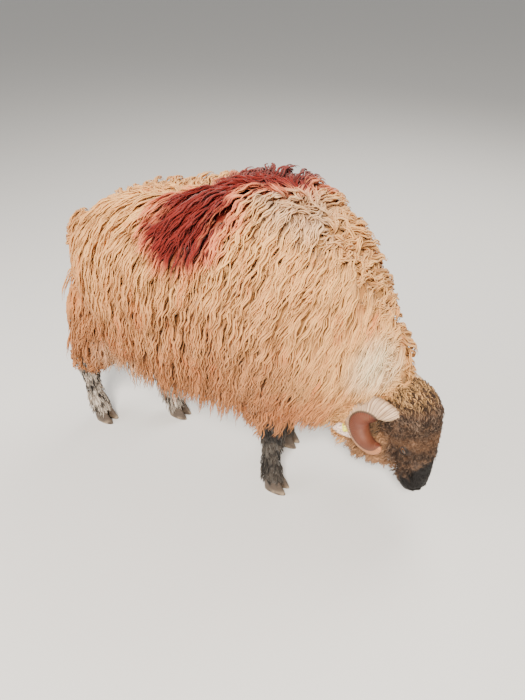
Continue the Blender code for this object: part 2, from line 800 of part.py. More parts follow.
def make_ear(name, side, grow, collection):
    """A cupped leaf of an ear, its back up and outwards and its hollow below."""
    along, across, back = ear_axes(side)
    root = Vector((EAR_ROOT[0], side * EAR_ROOT[1], EAR_ROOT[2]))
    rings = []
    for share, wide in EAR_SHAPE:
        half = EAR_HALF_WIDTH * wide + grow
        middle = root + along * (EAR_LENGTH * share + (grow if share > 0.5 else -grow))
        cup = EAR_CUP * (1.0 - 0.5 * share)
        thick = EAR_THICKNESS / 2 + grow
        outer = []
        inner = []
        for k in range(5):
            turn = (k / 4 - 0.5) * 2
            bend = -(turn * turn) * half * cup
            spot = middle + across * (half * turn) + back * bend
            edge = thick * (0.45 if k in (0, 4) else 1.0)
            outer.append(spot + back * edge)
            inner.append(spot - back * edge)
        rings.append(outer + inner[::-1])
    ear = loft(name, rings, collection)
    ear.data.transform(HEAD_MATRIX)
    return ear


def make_tag(name, side, grow, collection):
    """A plain plate clipped to the back of the ear."""
    along, across, back = ear_axes(side)
    root = Vector((EAR_ROOT[0], side * EAR_ROOT[1], EAR_ROOT[2]))
    middle = root + along * (EAR_LENGTH * TAG_PLACE)
    middle += back * (EAR_THICKNESS / 2 + GAP + TAG_SIZE[2] / 2)
    mesh = bmesh.new()
    bmesh.ops.create_cube(mesh, size=1.0)
    size = [length + 2 * grow for length in TAG_SIZE]
    turn = Matrix((along, across, back)).transposed().to_4x4()
    mesh.transform(Matrix.Translation(middle) @ turn @ Matrix.Diagonal((*size, 1.0)))
    mesh.transform(HEAD_MATRIX)
    return make_object(name, mesh, collection)


def make_eye(name, side, grow, collection):
    """The eyeball in its socket."""
    mesh = bmesh.new()
    bmesh.ops.create_uvsphere(mesh, u_segments=10, v_segments=6, radius=EYE_RADIUS + grow)
    spot = Vector((EYE_PLACE[0], side * EYE_PLACE[1], EYE_PLACE[2]))
    mesh.transform(HEAD_MATRIX @ Matrix.Translation(spot))
    return make_object(name, mesh, collection)


def make_box(name, low, high, grow, collection):
    """A box between two corners, made larger all round by so much."""
    low = Vector(low) - Vector((grow, grow, grow))
    high = Vector(high) + Vector((grow, grow, grow))
    mesh = bmesh.new()
    bmesh.ops.create_cube(mesh, size=1.0)
    size = high - low
    mesh.transform(Matrix.Translation((low + high) / 2) @ Matrix.Diagonal((*size, 1.0)))
    return make_object(name, mesh, collection)


def make_slab(name, cut, start, end, collection):
    """The space between two distances beyond a cut, as a large block."""
    (x, z), turn = cut
    mesh = bmesh.new()
    bmesh.ops.create_cube(mesh, size=1.0)
    size = Matrix.Diagonal((end - start, 2.0, 3.0, 1.0))
    shift = Matrix.Translation(((start + end) / 2, 0.0, 0.0))
    turned = Matrix.Rotation(turn, 4, "Y")
    mesh.transform(Matrix.Translation((x, 0.0, z)) @ turned @ shift @ size)
    return make_object(name, mesh, collection)


def far_box(box, rear_shift, front_shift):
    """The same box on the ram's left, its rear and front faces moved forward by so much."""
    low, high = box
    return (low[0] + rear_shift, -high[1], low[2]), (high[0] + front_shift, -low[1], high[2])


def make_whole():
    """All the flesh and wool of the ram as one closed body."""
    trunk = make_trunk()
    trunk_skin = surface_of(trunk)
    head = make_head_core()
    head_skin = surface_of(head)
    cover_flanks(trunk_skin)
    cover_neck(trunk_skin)
    cover_throat(trunk_skin)
    cover_rump(trunk_skin)
    make_tail()
    cover_head(head_skin)
    shape_muzzle(head_skin)
    for side in (-1, 1):
        make_eye_lids(side)
    for name, points in LEGS.items():
        limb = make_leg("limb", points, PIECES)
        skin = surface_of(limb)
        cover_pastern(points, skin)
        if name.startswith("hind"):
            cover_thigh(points, skin, -1 if name.endswith("right") else 1)
    PIECES.objects.unlink(trunk)
    bpy.context.scene.collection.objects.link(trunk)
    combine(trunk, PIECES, "UNION")
    return trunk, head_skin


def part_out(whole, name, keep, material):
    """The share of the whole that lies in the regions that keep makes, as a piece of its own."""
    piece = bpy.data.objects.new(name, whole.data.copy())
    RAM.objects.link(piece)
    keep()
    combine(piece, CUTTERS, "INTERSECT")
    keep_largest(piece)
    piece.data.materials.clear()
    piece.data.materials.append(material)
    return piece


def stand_over_origin():
    """Hang every piece on one empty, moved so that the origin is under the middle of the box."""
    points = [vert.co for thing in RAM.objects for vert in thing.data.vertices]
    low = Vector([min(point[axis] for point in points) for axis in range(3)])
    high = Vector([max(point[axis] for point in points) for axis in range(3)])
    stand = bpy.data.objects.new("stand", None)
    stand.location = (-(low.x + high.x) / 2, -(low.y + high.y) / 2, -low.z)
    for thing in RAM.objects:
        thing.parent = stand
    RAM.objects.link(stand)


def main():
    """Build the ram, part it and stand it over its origin."""
    wool = make_material("wool", WOOL, 0.95)
    leg_hair = make_material("leg_hair", LEG_HAIR, 0.9)
    dark_hair = make_material("dark_hair", DARK_HAIR, 0.85)
    horn_stuff = make_material("horn", HORN_COLOUR, 0.55)
    ear_skin = make_material("ear_skin", EAR_SKIN, 0.7)
    hoof_stuff = make_material("hoof", HOOF_COLOUR, 0.5)
    eye_stuff = make_material("eye", EYE_COLOUR, 0.1)
    tag_stuff = make_material("tag", TAG_COLOUR, 0.5)

    whole, head_skin = make_whole()
    cut_muzzle(head_skin)

    for side in (-1, 1):
        make_horn("horn_cut", side, GAP * 1.6, CUTTERS)
        make_ear("ear_cut", side, GAP * 1.6, CUTTERS)
        make_eye("eye_cut", side, GAP * 1.2, CUTTERS)
    make_tag("tag_cut", -1, GAP, CUTTERS)
    for points in LEGS.values():
        x, y, _ = points[-1][0]
        make_hoof("hoof_cut", x, y, GAP * 1.3, CUTTERS)
    combine(whole, CUTTERS, "DIFFERENCE")

    boxes = {
        "leg_fore_right": FORE_BOX,
        "leg_fore_left": far_box(FORE_BOX, FAR_FORE_SHIFT, FAR_FORE_SHIFT),
        "leg_hind_right": HIND_BOX,
        "leg_hind_left": far_box(HIND_BOX, 0.0, FAR_HIND_REACH - HIND_BOX[1][0]),
        "tail": TAIL_BOX,
    }
    for name, (low, high) in boxes.items():
        stuff = wool if name == "tail" else leg_hair
        part_out(whole, name, lambda: make_box("keep", low, high, 0.0, CUTTERS), stuff)
    part_out(whole, "head", lambda: make_slab("keep", HEAD_CUT, GAP, 2.0, CUTTERS), dark_hair)

    trunk = bpy.data.objects.new("trunk", whole.data.copy())
    bpy.context.scene.collection.objects.link(trunk)
    for name, (low, high) in boxes.items():
        make_box("leave", low, high, GAP, CUTTERS)
    make_slab("leave", HEAD_CUT, 0.0, 2.0, CUTTERS)
    combine(trunk, CUTTERS, "DIFFERENCE")
    part_out(trunk, "torso", lambda: make_slab("keep", NECK_CUT, -2.0, 0.0, CUTTERS), wool)
    part_out(trunk, "neck", lambda: make_slab("keep", NECK_CUT, GAP, 2.0, CUTTERS), wool)
    bpy.data.objects.remove(trunk)
    bpy.data.objects.remove(whole)

    for word, side in (("right", -1), ("left", 1)):
        make_horn("horn_" + word, side, 0.0, RAM).data.materials.append(horn_stuff)
        ear = make_ear("ear_" + word, side, 0.0, RAM)
        make_horn("horn_cut", side, GAP * 1.6, CUTTERS)
        combine(ear, CUTTERS, "DIFFERENCE")
        keep_largest(ear)
        ear.data.materials.append(ear_skin)
        make_eye("eye_" + word, side, 0.0, RAM).data.materials.append(eye_stuff)
    make_tag("ear_tag", -1, 0.0, RAM).data.materials.append(tag_stuff)
    for name, points in LEGS.items():
        join_hoof("hoof_" + name, points).data.materials.append(hoof_stuff)
    stand_over_origin()


main()
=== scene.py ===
# %% [markdown]
# A long-wool ram, grazing. The animal walks with its head down, and nearly all that shows is
# fleece: long wavy locks that part along the spine and hang over both flanks, curls on the thighs and
# the forehead, and short dark hair on the face and shanks. Hair that grows as particles would be lost
# when the model is exported, so each strand here is a thin solid of its own, built with arrays.
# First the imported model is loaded. It fixes the place and size of everything that follows.

# %% Load the frame
import math

import bmesh
import bpy
import numpy as np
from mathutils import Matrix, Vector
from mathutils.bvhtree import BVHTree


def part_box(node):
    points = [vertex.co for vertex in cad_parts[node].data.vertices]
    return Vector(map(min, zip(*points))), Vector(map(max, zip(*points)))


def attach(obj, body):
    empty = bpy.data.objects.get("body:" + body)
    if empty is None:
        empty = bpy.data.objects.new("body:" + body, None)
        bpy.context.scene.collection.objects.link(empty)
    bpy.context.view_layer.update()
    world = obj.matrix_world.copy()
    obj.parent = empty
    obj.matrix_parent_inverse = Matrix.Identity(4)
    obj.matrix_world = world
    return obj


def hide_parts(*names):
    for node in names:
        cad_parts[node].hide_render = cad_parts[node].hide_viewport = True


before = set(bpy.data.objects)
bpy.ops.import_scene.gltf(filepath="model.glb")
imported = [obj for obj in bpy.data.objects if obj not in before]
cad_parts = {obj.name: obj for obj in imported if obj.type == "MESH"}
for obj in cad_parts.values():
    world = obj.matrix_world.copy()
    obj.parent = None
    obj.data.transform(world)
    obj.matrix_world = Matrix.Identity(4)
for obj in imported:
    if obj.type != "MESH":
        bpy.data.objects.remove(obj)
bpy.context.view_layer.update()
BODY = "root"
RANDOM = np.random.default_rng(5)
SIDES = ((-1, "right"), (1, "left"))

# %% [markdown]
# The head hangs low, turned a little away from the line of the body. All of its parts are placed in
# the head's own directions: forwards out of the forehead, to the ram's left, and up through the poll.
# The right eyeball is a sphere whose centre is known in those directions, so its place in the frame
# says where the whole animal stands, and no piece has to be moved by hand afterwards.

# %% Where the ram stands
POLL = Vector((0.309, 0.045, 0.412))
HEAD_TURN = math.radians(-25)
HEAD_LEAN = math.radians(13)
EYE_PLACE = Vector((0.022, 0.0455, -0.155))
# Where the middle of each horn's coil lies: forwards and up.
HORN_CENTRES = {-1: (-0.040, -0.085), 1: (-0.052, -0.104)}


def turned_head():
    """The head's turn and lean, without its place."""
    return Matrix.Rotation(HEAD_TURN, 4, "Z") @ Matrix.Rotation(-HEAD_LEAN, 4, "Y")


def box_centre(node):
    """The middle of a node's box."""
    low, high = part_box(node)
    return (low + high) / 2


right_eye = Vector((EYE_PLACE.x, -EYE_PLACE.y, EYE_PLACE.z))
STAND = box_centre("eye_right") - (POLL + turned_head() @ right_eye)
STAND.z = 0.0
HEAD = Matrix.Translation(POLL + STAND) @ turned_head()
TO_HEAD = HEAD.inverted()
print("the ram stands at", tuple(round(value, 4) for value in STAND))

# %% [markdown]
# The camera looks down on the right shoulder, as a person does who stands beside the animal. Its
# height and distance were worked out from the hooves, the back line and the muzzle, which all have a
# known size on a ram of this breed. The lens is given by the width of the picture in pixels.

# %% Camera
PICTURE_WIDTH = 525
FOCAL_PIXELS = 526.0
EYE_POINT = Vector((0.4259, -0.9955, 1.2936))
CAMERA_AZIMUTH = math.radians(26.8)
CAMERA_PITCH = math.radians(37.9)

lens = bpy.data.cameras.new("view")
lens.sensor_fit = "HORIZONTAL"
lens.lens = lens.sensor_width * FOCAL_PIXELS / PICTURE_WIDTH
camera = bpy.data.objects.new("view", lens)
camera.location = EYE_POINT + STAND
camera.rotation_euler = (math.pi / 2 - CAMERA_PITCH, 0.0, CAMERA_AZIMUTH)
bpy.context.scene.collection.objects.link(camera)
bpy.context.scene.camera = camera
print("lens", round(lens.lens, 2), "mm")

# %% [markdown]
# The studio is a pale floor and a few large lamps. A soft lamp high on the near side does the work of
# the sun, so that each lock throws a soft shadow on the next. A weaker lamp opens the shadows on the
# rump, and another brightens the far side of the back.

# %% Floor and light
def add_lamp(name, place, target, size, power, colour):
    """A square lamp at a place, aimed at a target."""
    light = bpy.data.lights.new(name, "AREA")
    light.size = size
    light.energy = power
    light.color = colour
    lamp = bpy.data.objects.new(name, light)
    lamp.location = Vector(place) + STAND
    aim = Vector(target) - Vector(place)
    lamp.rotation_euler = aim.to_track_quat("-Z", "Y").to_euler()
    bpy.context.scene.collection.objects.link(lamp)
    return lamp


def plain_material(name, colour, roughness):
    """A material with one colour all over."""
    material = bpy.data.materials.new(name)
    material.use_nodes = True
    surface = material.node_tree.nodes["Principled BSDF"]
    surface.inputs["Base Color"].default_value = (*colour, 1.0)
    surface.inputs["Roughness"].default_value = roughness
    return material


FLOOR_SIZE = 40.0
FLOOR_COLOUR = (0.66, 0.65, 0.63)
# The floor lies this far under the hooves.
FLOOR_DROP = 0.001

floor_mesh = bmesh.new()
bmesh.ops.create_grid(floor_mesh, x_segments=1, y_segments=1, size=FLOOR_SIZE)
floor_data = bpy.data.meshes.new("floor")
floor_mesh.to_mesh(floor_data)
floor_mesh.free()
floor = bpy.data.objects.new("floor", floor_data)
floor.location = (0.0, 0.0, -FLOOR_DROP)
floor_data.materials.append(plain_material("pale_floor", FLOOR_COLOUR, 0.9))
bpy.context.scene.collection.objects.link(floor)

add_lamp("sun_side", (0.9, -2.6, 3.2), (-0.1, 0.0, 0.5), 0.9, 400.0, (1.0, 0.93, 0.84))
add_lamp("over_back", (0.2, 2.2, 3.0), (0.0, 0.0, 0.6), 2.0, 105.0, (1.0, 0.96, 0.90))
add_lamp("left_fill", (-2.2, -1.5, 1.9), (-0.2, 0.0, 0.5), 1.8, 55.0, (1.0, 0.96, 0.92))

world = bpy.data.worlds.new("studio")
world.use_nodes = True
world.node_tree.nodes["Background"].inputs["Color"].default_value = (1.0, 0.985, 0.96, 1.0)
world.node_tree.nodes["Background"].inputs["Strength"].default_value = 0.50
bpy.context.scene.world = world

# %% [markdown]
# Every piece of the animal ends up as one mesh object with a place in the frame. Two small helpers do
# that: one turns arrays of points and faces into an object, the other hangs it on the body and hides
# the solids that it stands for. Faces may have three or four corners, and the arrays are copied in one
# go, which takes a fraction of a second for a hundred thousand faces.

# %% Make an object from arrays
def array_object(name, points, faces, material):
    """One smooth mesh object from an array of points and one of faces, all of the same size."""
    data = bpy.data.meshes.new(name)
    corners = faces.shape[1]
    data.vertices.add(len(points))
    data.vertices.foreach_set("co", np.asarray(points, np.float32).ravel())
    data.loops.add(faces.size)
    data.loops.foreach_set("vertex_index", np.asarray(faces, np.int32).ravel())
    data.polygons.add(len(faces))
    data.polygons.foreach_set("loop_start", np.arange(0, faces.size, corners, dtype=np.int32))
    data.update(calc_edges=True)
    data.validate()
    data.shade_smooth()
    data.materials.append(material)
    thing = bpy.data.objects.new(name, data)
    bpy.context.scene.collection.objects.link(thing)
    return thing


def hang(thing, slot, *nodes):
    """Hang a piece on the body and hide the solids that it replaces. The finish that it is given is not
    used.
    """
    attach(thing, BODY)
    if nodes:
        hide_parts(*nodes)
    print(thing.name, "has", len(thing.data.polygons), "faces")
    return thing


def smooth_rows(rows, steps):
    """A soft curve through rows of numbers, with so many steps from one row to the next."""
    rows = np.asarray(rows, float)
    ahead = np.vstack([rows[1:], 2 * rows[-1] - rows[-2]])
    behind = np.vstack([2 * rows[0] - rows[1], rows[:-1]])
    slope = (ahead - behind) / 2
    made = []
    for k in range(len(rows) - 1):
        for t in np.arange(steps) / steps:
            near = (2 * t**3 - 3 * t**2 + 1) * rows[k] + (t**3 - 2 * t**2 + t) * slope[k]
            made.append(near + (3 * t**2 - 2 * t**3) * rows[k + 1] + (t**3 - t**2) * slope[k + 1])
    made.append(rows[-1])
    return np.array(made)


def skin_rings(mesh, rings):
    """Close a bmesh skin over rings of points."""
    rows = [[mesh.verts.new(point) for point in ring] for ring in rings]
    for one, two in zip(rows, rows[1:]):
        for i in range(len(one)):
            j = (i + 1) % len(one)
            mesh.faces.new((one[i], one[j], two[j], two[i]))
    mesh.faces.new(rows[0][::-1])
    mesh.faces.new(rows[-1])


def oval_ring(centre, across, along, half_across, half_along, count, squareness=2.0):
    """Points of an oval round a centre, squarer for a higher number."""
    angles = np.arange(count) * 2 * math.pi / count
    sine = np.sign(np.sin(angles)) * np.abs(np.sin(angles)) ** (2 / squareness)
    cosine = np.sign(np.cos(angles)) * np.abs(np.cos(angles)) ** (2 / squareness)
    ring = np.outer(sine * half_across, across) + np.outer(cosine * half_along, along)
    return [Vector(point) + Vector(centre) for point in ring]

# %% [markdown]
# Under the wool lies one skin for trunk, neck, head, legs and tail. It starts as separate closed
# shapes, each drawn over a row of sections: rings from rump to neck, rings down each leg, rings from
# the poll to the lips. Where they overlap, a voxel remesh melts them together, as a sculptor presses
# lumps of clay into one. The body needs only coarse voxels, because fleece covers it.

# %% Sections of the body
TRUNK = (
    (-0.608, 0.610, -0.608, 0.560, 0.026, 0.000),
    (-0.586, 0.680, -0.586, 0.480, 0.070, 0.000),
    (-0.536, 0.738, -0.533, 0.440, 0.122, 0.000),
    (-0.455, 0.783, -0.455, 0.435, 0.172, 0.000),
    (-0.350, 0.805, -0.350, 0.440, 0.210, 0.000),
    (-0.240, 0.826, -0.240, 0.430, 0.226, 0.004),
    (-0.130, 0.862, -0.120, 0.410, 0.228, 0.010),
    (-0.035, 0.866, -0.020, 0.385, 0.218, 0.014),
    (0.045, 0.832, 0.052, 0.365, 0.198, 0.020),
    (0.118, 0.760, 0.106, 0.345, 0.166, 0.036),
    (0.180, 0.668, 0.150, 0.280, 0.122, 0.056),
    (0.234, 0.576, 0.190, 0.208, 0.084, 0.068),
    (0.278, 0.494, 0.235, 0.165, 0.058, 0.067),
    (0.308, 0.425, 0.280, 0.148, 0.046, 0.060),
)
FORE_LEG = (
    (-0.030, -0.100, 0.450, 0.060, 0.040),
    (-0.015, -0.100, 0.360, 0.046, 0.036),
    (0.000, -0.092, 0.255, 0.031, 0.028),
    (0.000, -0.090, 0.215, 0.031, 0.028),
    (-0.004, -0.090, 0.140, 0.022, 0.020),
    (-0.004, -0.090, 0.085, 0.028, 0.026),
    (0.006, -0.090, 0.043, 0.027, 0.025),
)
HIND_LEG = (
    (-0.500, -0.088, 0.620, 0.050, 0.030),
    (-0.522, -0.098, 0.530, 0.075, 0.050),
    (-0.536, -0.106, 0.420, 0.068, 0.050),
    (-0.590, -0.102, 0.330, 0.050, 0.038),
    (-0.646, -0.096, 0.265, 0.035, 0.028),
    (-0.648, -0.093, 0.215, 0.029, 0.025),
    (-0.650, -0.091, 0.140, 0.022, 0.020),
    (-0.650, -0.090, 0.085, 0.028, 0.026),
    (-0.638, -0.090, 0.043, 0.027, 0.025),
)
FAR_HIND_LEG = (
    (-0.530, 0.100, 0.520, 0.085, 0.055),
    (-0.505, 0.102, 0.420, 0.078, 0.050),
    (-0.528, 0.080, 0.325, 0.052, 0.038),
    (-0.545, 0.065, 0.260, 0.035, 0.028),
    (-0.522, 0.058, 0.215, 0.029, 0.025),
    (-0.475, 0.048, 0.140, 0.023, 0.020),
    (-0.444, 0.042, 0.085, 0.028, 0.026),
    (-0.426, 0.040, 0.043, 0.027, 0.025),
)
FAR_FORE_SHIFT = -0.045
FAR_FORE_LEG = tuple((x + FAR_FORE_SHIFT, -y, z, deep, wide) for x, y, z, deep, wide in FORE_LEG)
LEGS = {
    "fore_right": FORE_LEG,
    "fore_left": FAR_FORE_LEG,
    "hind_right": HIND_LEG,
    "hind_left": FAR_HIND_LEG,
}
TAIL = (
    (-0.590, 0.0, 0.690, 0.030),
    (-0.644, 0.0, 0.655, 0.026),
    (-0.664, 0.0, 0.580, 0.022),
    (-0.668, 0.0, 0.500, 0.016),
    (-0.664, 0.0, 0.440, 0.010),
)
BODY_VOXEL = 0.0055


def trunk_rings(steps, sides):
    """Rings of the trunk from the rump to the back of the head."""
    rings = []
    for top_x, top_z, low_x, low_z, half_width, left in smooth_rows(TRUNK, steps):
        top = Vector((top_x, left, top_z))
        low = Vector((low_x, left, low_z))
        up = (top - low).normalized()
        middle = (top + low) / 2 + STAND
        half = (top - low).length / 2
        rings.append(oval_ring(middle, (0, 1, 0), up, half_width, half, sides, 2.3))
    return rings


def leg_rings(points, steps, sides):
    """Level rings down a leg."""
    rings = []
    for x, y, z, deep, wide in smooth_rows(points, steps):
        rings.append(oval_ring(Vector((x, y, z)) + STAND, (0, 1, 0), (1, 0, 0), wide, deep, sides))
    return rings


def tail_rings(steps, sides):
    """Rings down the tail, square to its length."""
    rows = smooth_rows(TAIL, steps)
    rings = []
    for k, (x, y, z, radius) in enumerate(rows):
        ahead = rows[min(k + 1, len(rows) - 1)] - rows[max(k - 1, 0)]
        along = Vector(ahead[:3]).normalized()
        up = Vector((0, 1, 0)).cross(along)
        rings.append(oval_ring(Vector((x, y, z)) + STAND, (0, 1, 0), up, radius, radius, sides))
    return rings


def remeshed(name, mesh, voxel, smoothing):
    """Melt the overlapping shapes of a bmesh into one skin, and return its points and quads."""
    bmesh.ops.recalc_face_normals(mesh, faces=mesh.faces)
    data = bpy.data.meshes.new(name)
    mesh.to_mesh(data)
    mesh.free()
    thing = bpy.data.objects.new(name, data)
    bpy.context.scene.collection.objects.link(thing)
    melt = thing.modifiers.new("melt", "REMESH")
    melt.mode = "VOXEL"
    melt.voxel_size = voxel
    soften = thing.modifiers.new("soften", "SMOOTH")
    soften.iterations = smoothing
    bpy.context.view_layer.update()
    result = thing.evaluated_get(bpy.context.evaluated_depsgraph_get()).to_mesh()
    points = np.empty(len(result.vertices) * 3, np.float32)
    result.vertices.foreach_get("co", points)
    corners = np.empty(len(result.loops), np.int32)
    result.loops.foreach_get("vertex_index", corners)
    bpy.data.objects.remove(thing)
    print(name, "skin", len(points) // 3, "points")
    return points.reshape(-1, 3).astype(float), corners.reshape(-1, 4)


body_mesh = bmesh.new()
skin_rings(body_mesh, trunk_rings(3, 32))
skin_rings(body_mesh, tail_rings(3, 12))
for points in LEGS.values():
    skin_rings(body_mesh, leg_rings(points, 4, 20))
body_points, body_faces = remeshed("body", body_mesh, BODY_VOXEL, 4)

# %% [markdown]
# The head gets the most care. Its long shape is again a row of sections, from the poll over the wide
# brow to the narrow muzzle. Brow ridges, cheek muscles, lips, chin, throat and the roots of the horns
# are set on it as flattened balls before the remesh, with voxels under two millimetres. Then finer forms
# are pressed in or pulled out along short paths, each with its own reach and depth: nostrils, the
# line of the mouth, the groove under the nose, the hollow round each eye and the tear furrow.

# %% The head
SKULL = (
    (0.004, 0.000, 0.022, 0.024),
    (-0.012, 0.000, 0.046, 0.044),
    (-0.045, 0.002, 0.068, 0.055),
    (-0.085, 0.000, 0.079, 0.059),
    (-0.125, -0.004, 0.079, 0.056),
    (-0.165, -0.002, 0.071, 0.048),
    (-0.205, 0.008, 0.061, 0.039),
    (-0.245, 0.013, 0.049, 0.033),
    (-0.285, 0.012, 0.038, 0.032),
    (-0.306, 0.008, 0.030, 0.027),
    (-0.318, 0.006, 0.016, 0.015),
)
# Flattened balls, one on each side: place and half sizes, in the head's directions.
LUMPS = {
    "brow ridge": ((0.038, 0.036, -0.132), (0.022, 0.016, 0.018)),
    "cheek": ((-0.022, 0.036, -0.138), (0.042, 0.019, 0.050)),
    "jaw": ((-0.046, 0.024, -0.178), (0.022, 0.016, 0.045)),
    "lips": ((0.010, 0.017, -0.297), (0.027, 0.017, 0.019)),
    "nostril": ((0.031, 0.011, -0.290), (0.016, 0.012, 0.020)),
    "root of the horn": ((0.010, 0.046, -0.064), (0.032, 0.026, 0.030)),
    "brow under the horn": ((0.016, 0.050, -0.082), (0.029, 0.030, 0.029)),
    "chin": ((-0.014, 0.008, -0.296), (0.020, 0.018, 0.018)),
    "throat": ((-0.055, 0.034, -0.180), (0.046, 0.040, 0.052)),
    "back of the throat": ((-0.110, 0.040, -0.180), (0.048, 0.044, 0.048)),
}
HEAD_VOXEL = 0.0019

head_mesh = bmesh.new()
rings = []
for height, middle, deep, wide in smooth_rows(SKULL, 4):
    centre = HEAD @ Vector((middle, 0.0, height))
    front = (HEAD.to_3x3() @ Vector((1, 0, 0))).normalized()
    left = (HEAD.to_3x3() @ Vector((0, 1, 0))).normalized()
    rings.append(oval_ring(centre, left, front, wide, deep, 40, 2.3))
skin_rings(head_mesh, rings)
for (x, y, z), sizes in LUMPS.values():
    for side in (-1, 1):
        place = HEAD @ Matrix.Translation((x, side * y, z)) @ Matrix.Diagonal((*sizes, 1.0))
        bmesh.ops.create_icosphere(head_mesh, subdivisions=4, radius=1.0, matrix=place)
head_points, head_faces = remeshed("head", head_mesh, HEAD_VOXEL, 5)

# %% [markdown]
# Pressing works on the points themselves. Each point near a path moves along its own outward
# direction, most at the path and less with distance, so the dents and ridges have soft edges.

# %% Press and pull the finer forms
def point_normals(points, faces):
    """Outward directions at the points of a skin of quads."""
    cross = np.cross(points[faces[:, 2]] - points[faces[:, 0]], points[faces[:, 3]] - points[faces[:, 1]])
    normals = np.zeros_like(points)
    for corner in range(4):
        np.add.at(normals, faces[:, corner], cross)
    return normals / np.linalg.norm(normals, axis=1, keepdims=True)


def in_head(points):
    """Points of the frame, in the head's own directions."""
    turn = np.array(TO_HEAD.to_3x3())
    return points @ turn.T + np.array(TO_HEAD.translation)


def reach_of(points, path):
    """How far each point lies from a path of short straight pieces."""
    best = np.full(len(points), 1e9)
    for start, end in zip(path, path[1:]):
        start, end = np.array(start), np.array(end)
        run = end - start
        share = np.clip((points - start) @ run / (run @ run), 0.0, 1.0)
        best = np.minimum(best, np.linalg.norm(points - start - share[:, None] * run, axis=1))
    return best


def press(points, normals, path, reach, depth, both_sides=True):
    """Move the skin along its normals near a path of the head: in for a positive depth."""
    local = in_head(points)
    sides = (1, -1) if both_sides else (1,)
    for side in sides:
        route = [(x, side * y, z) for x, y, z in path]
        share = np.exp(-((reach_of(local, route) / reach) ** 2))
        points -= normals * (depth * share)[:, None]
    return points


head_tree = BVHTree.FromPolygons(head_points.tolist(), head_faces.tolist())


def on_muzzle(turn, height):
    """A place on the muzzle's skin in the head's directions, at a turn from its front."""
    out = Vector((math.cos(turn), math.sin(turn), 0.0))
    start = HEAD @ (Vector((0.005, 0.0, height)) + out * 0.2)
    target = HEAD @ Vector((0.005, 0.0, height))
    place, _, _, _ = head_tree.ray_cast(start, (target - start).normalized())
    return tuple(TO_HEAD @ (place if place else target))


MOUTH_TURN = math.radians(118)
mouth = []
for k in range(25):
    share = k / 12 - 1
    mouth.append(on_muzzle(MOUTH_TURN * share, -0.3085 + 0.040 * abs(share) ** 1.6))
upper_lip = [(x * 1.02, y * 1.02, z + 0.0065) for x, y, z in mouth]
lower_lip = [(x, y, z - 0.0055) for x, y, z in mouth]
nostril = [(0.0500, 0.0065, -0.2935), (0.0455, 0.0125, -0.2965), (0.0375, 0.0195, -0.2945)]
nostril_rim = [(0.0520, 0.0120, -0.2870), (0.0440, 0.0190, -0.2890), (0.0340, 0.0240, -0.2890)]

normals = point_normals(head_points, head_faces)
# Each form: its path, how far it reaches, its depth, and whether both sides of the head have it.
FORMS = {
    "eye hollow": ([EYE_PLACE, EYE_PLACE + Vector((0.001, 0, 0))], 0.017, 0.0035, True),
    "tear furrow": ([(0.036, 0.047, -0.172), (0.043, 0.040, -0.196)], 0.0050, 0.0022, True),
    "cheek edge": ([(0.006, 0.048, -0.190), (0.010, 0.036, -0.240)], 0.0080, -0.0018, True),
    "lip groove": ([(0.050, 0.0, -0.290), (0.052, 0.0, -0.306)], 0.0022, 0.0016, False),
    "upper lip": (upper_lip, 0.0050, -0.0018, False),
    "lower lip": (lower_lip, 0.0050, -0.0016, False),
    "nostril rim": (nostril_rim, 0.0042, -0.0010, True),
    "mouth": (mouth, 0.0022, 0.0036, False),
    "nostril": (nostril, 0.0030, 0.0080, True),
    "nose bridge": ([(0.060, 0.0, -0.215), (0.062, 0.0, -0.262)], 0.012, -0.0015, False),
}
for path, reach, depth, both_sides in FORMS.values():
    press(head_points, normals, path, reach, depth, both_sides)
print("head shaped,", len(head_points), "points, with", ", ".join(FORMS))

# %% [markdown]
# Lids are what makes an eye look alive. Each pair here is one soft collar: it starts inside the
# eyeball's surface at the edge of a narrow almond, rolls over the rim, dips into a crease and runs out
# under the skin round the socket. The almond is long and nearly shut, because the ram looks down at
# the grass, and its inner corner points down the face.

# %% Eyelids
EYE_RADIUS = 0.0135
GAZE = Vector((0.42, 0.90, 0.05))
SLANT = Vector((-0.38, 0.0, 0.92))
LID_SIDES = 48
# Rows from the edge of the lid outwards: half length, half height, how far over the eyeball.
LID_ROWS = (
    (0.0118, 0.0042, -0.0010),
    (0.0120, 0.0044, 0.0009),
    (0.0128, 0.0054, 0.0022),
    (0.0142, 0.0072, 0.0026),
    (0.0160, 0.0096, 0.0016),
    (0.0178, 0.0114, 0.0022),
)
LID_SKIRT = ((0.0215, 0.0160, 0.0008), (0.0260, 0.0205, -0.0016))


def ring_quads(rings, sides):
    """Quads between rings that follow each other in one list of points."""
    steps = np.arange((rings - 1) * sides)
    after = steps - steps % sides + (steps + 1) % sides
    return np.stack([steps, after, after + sides, steps + sides], axis=1)


def eye_axes(side):
    """Centre, outward, long and short direction of an eye, in the head's directions."""
    out = Vector((GAZE.x, side * GAZE.y, GAZE.z)).normalized()
    along = (SLANT - out * SLANT.dot(out)).normalized()
    return Vector((EYE_PLACE.x, side * EYE_PLACE.y, EYE_PLACE.z)), out, along, out.cross(along)


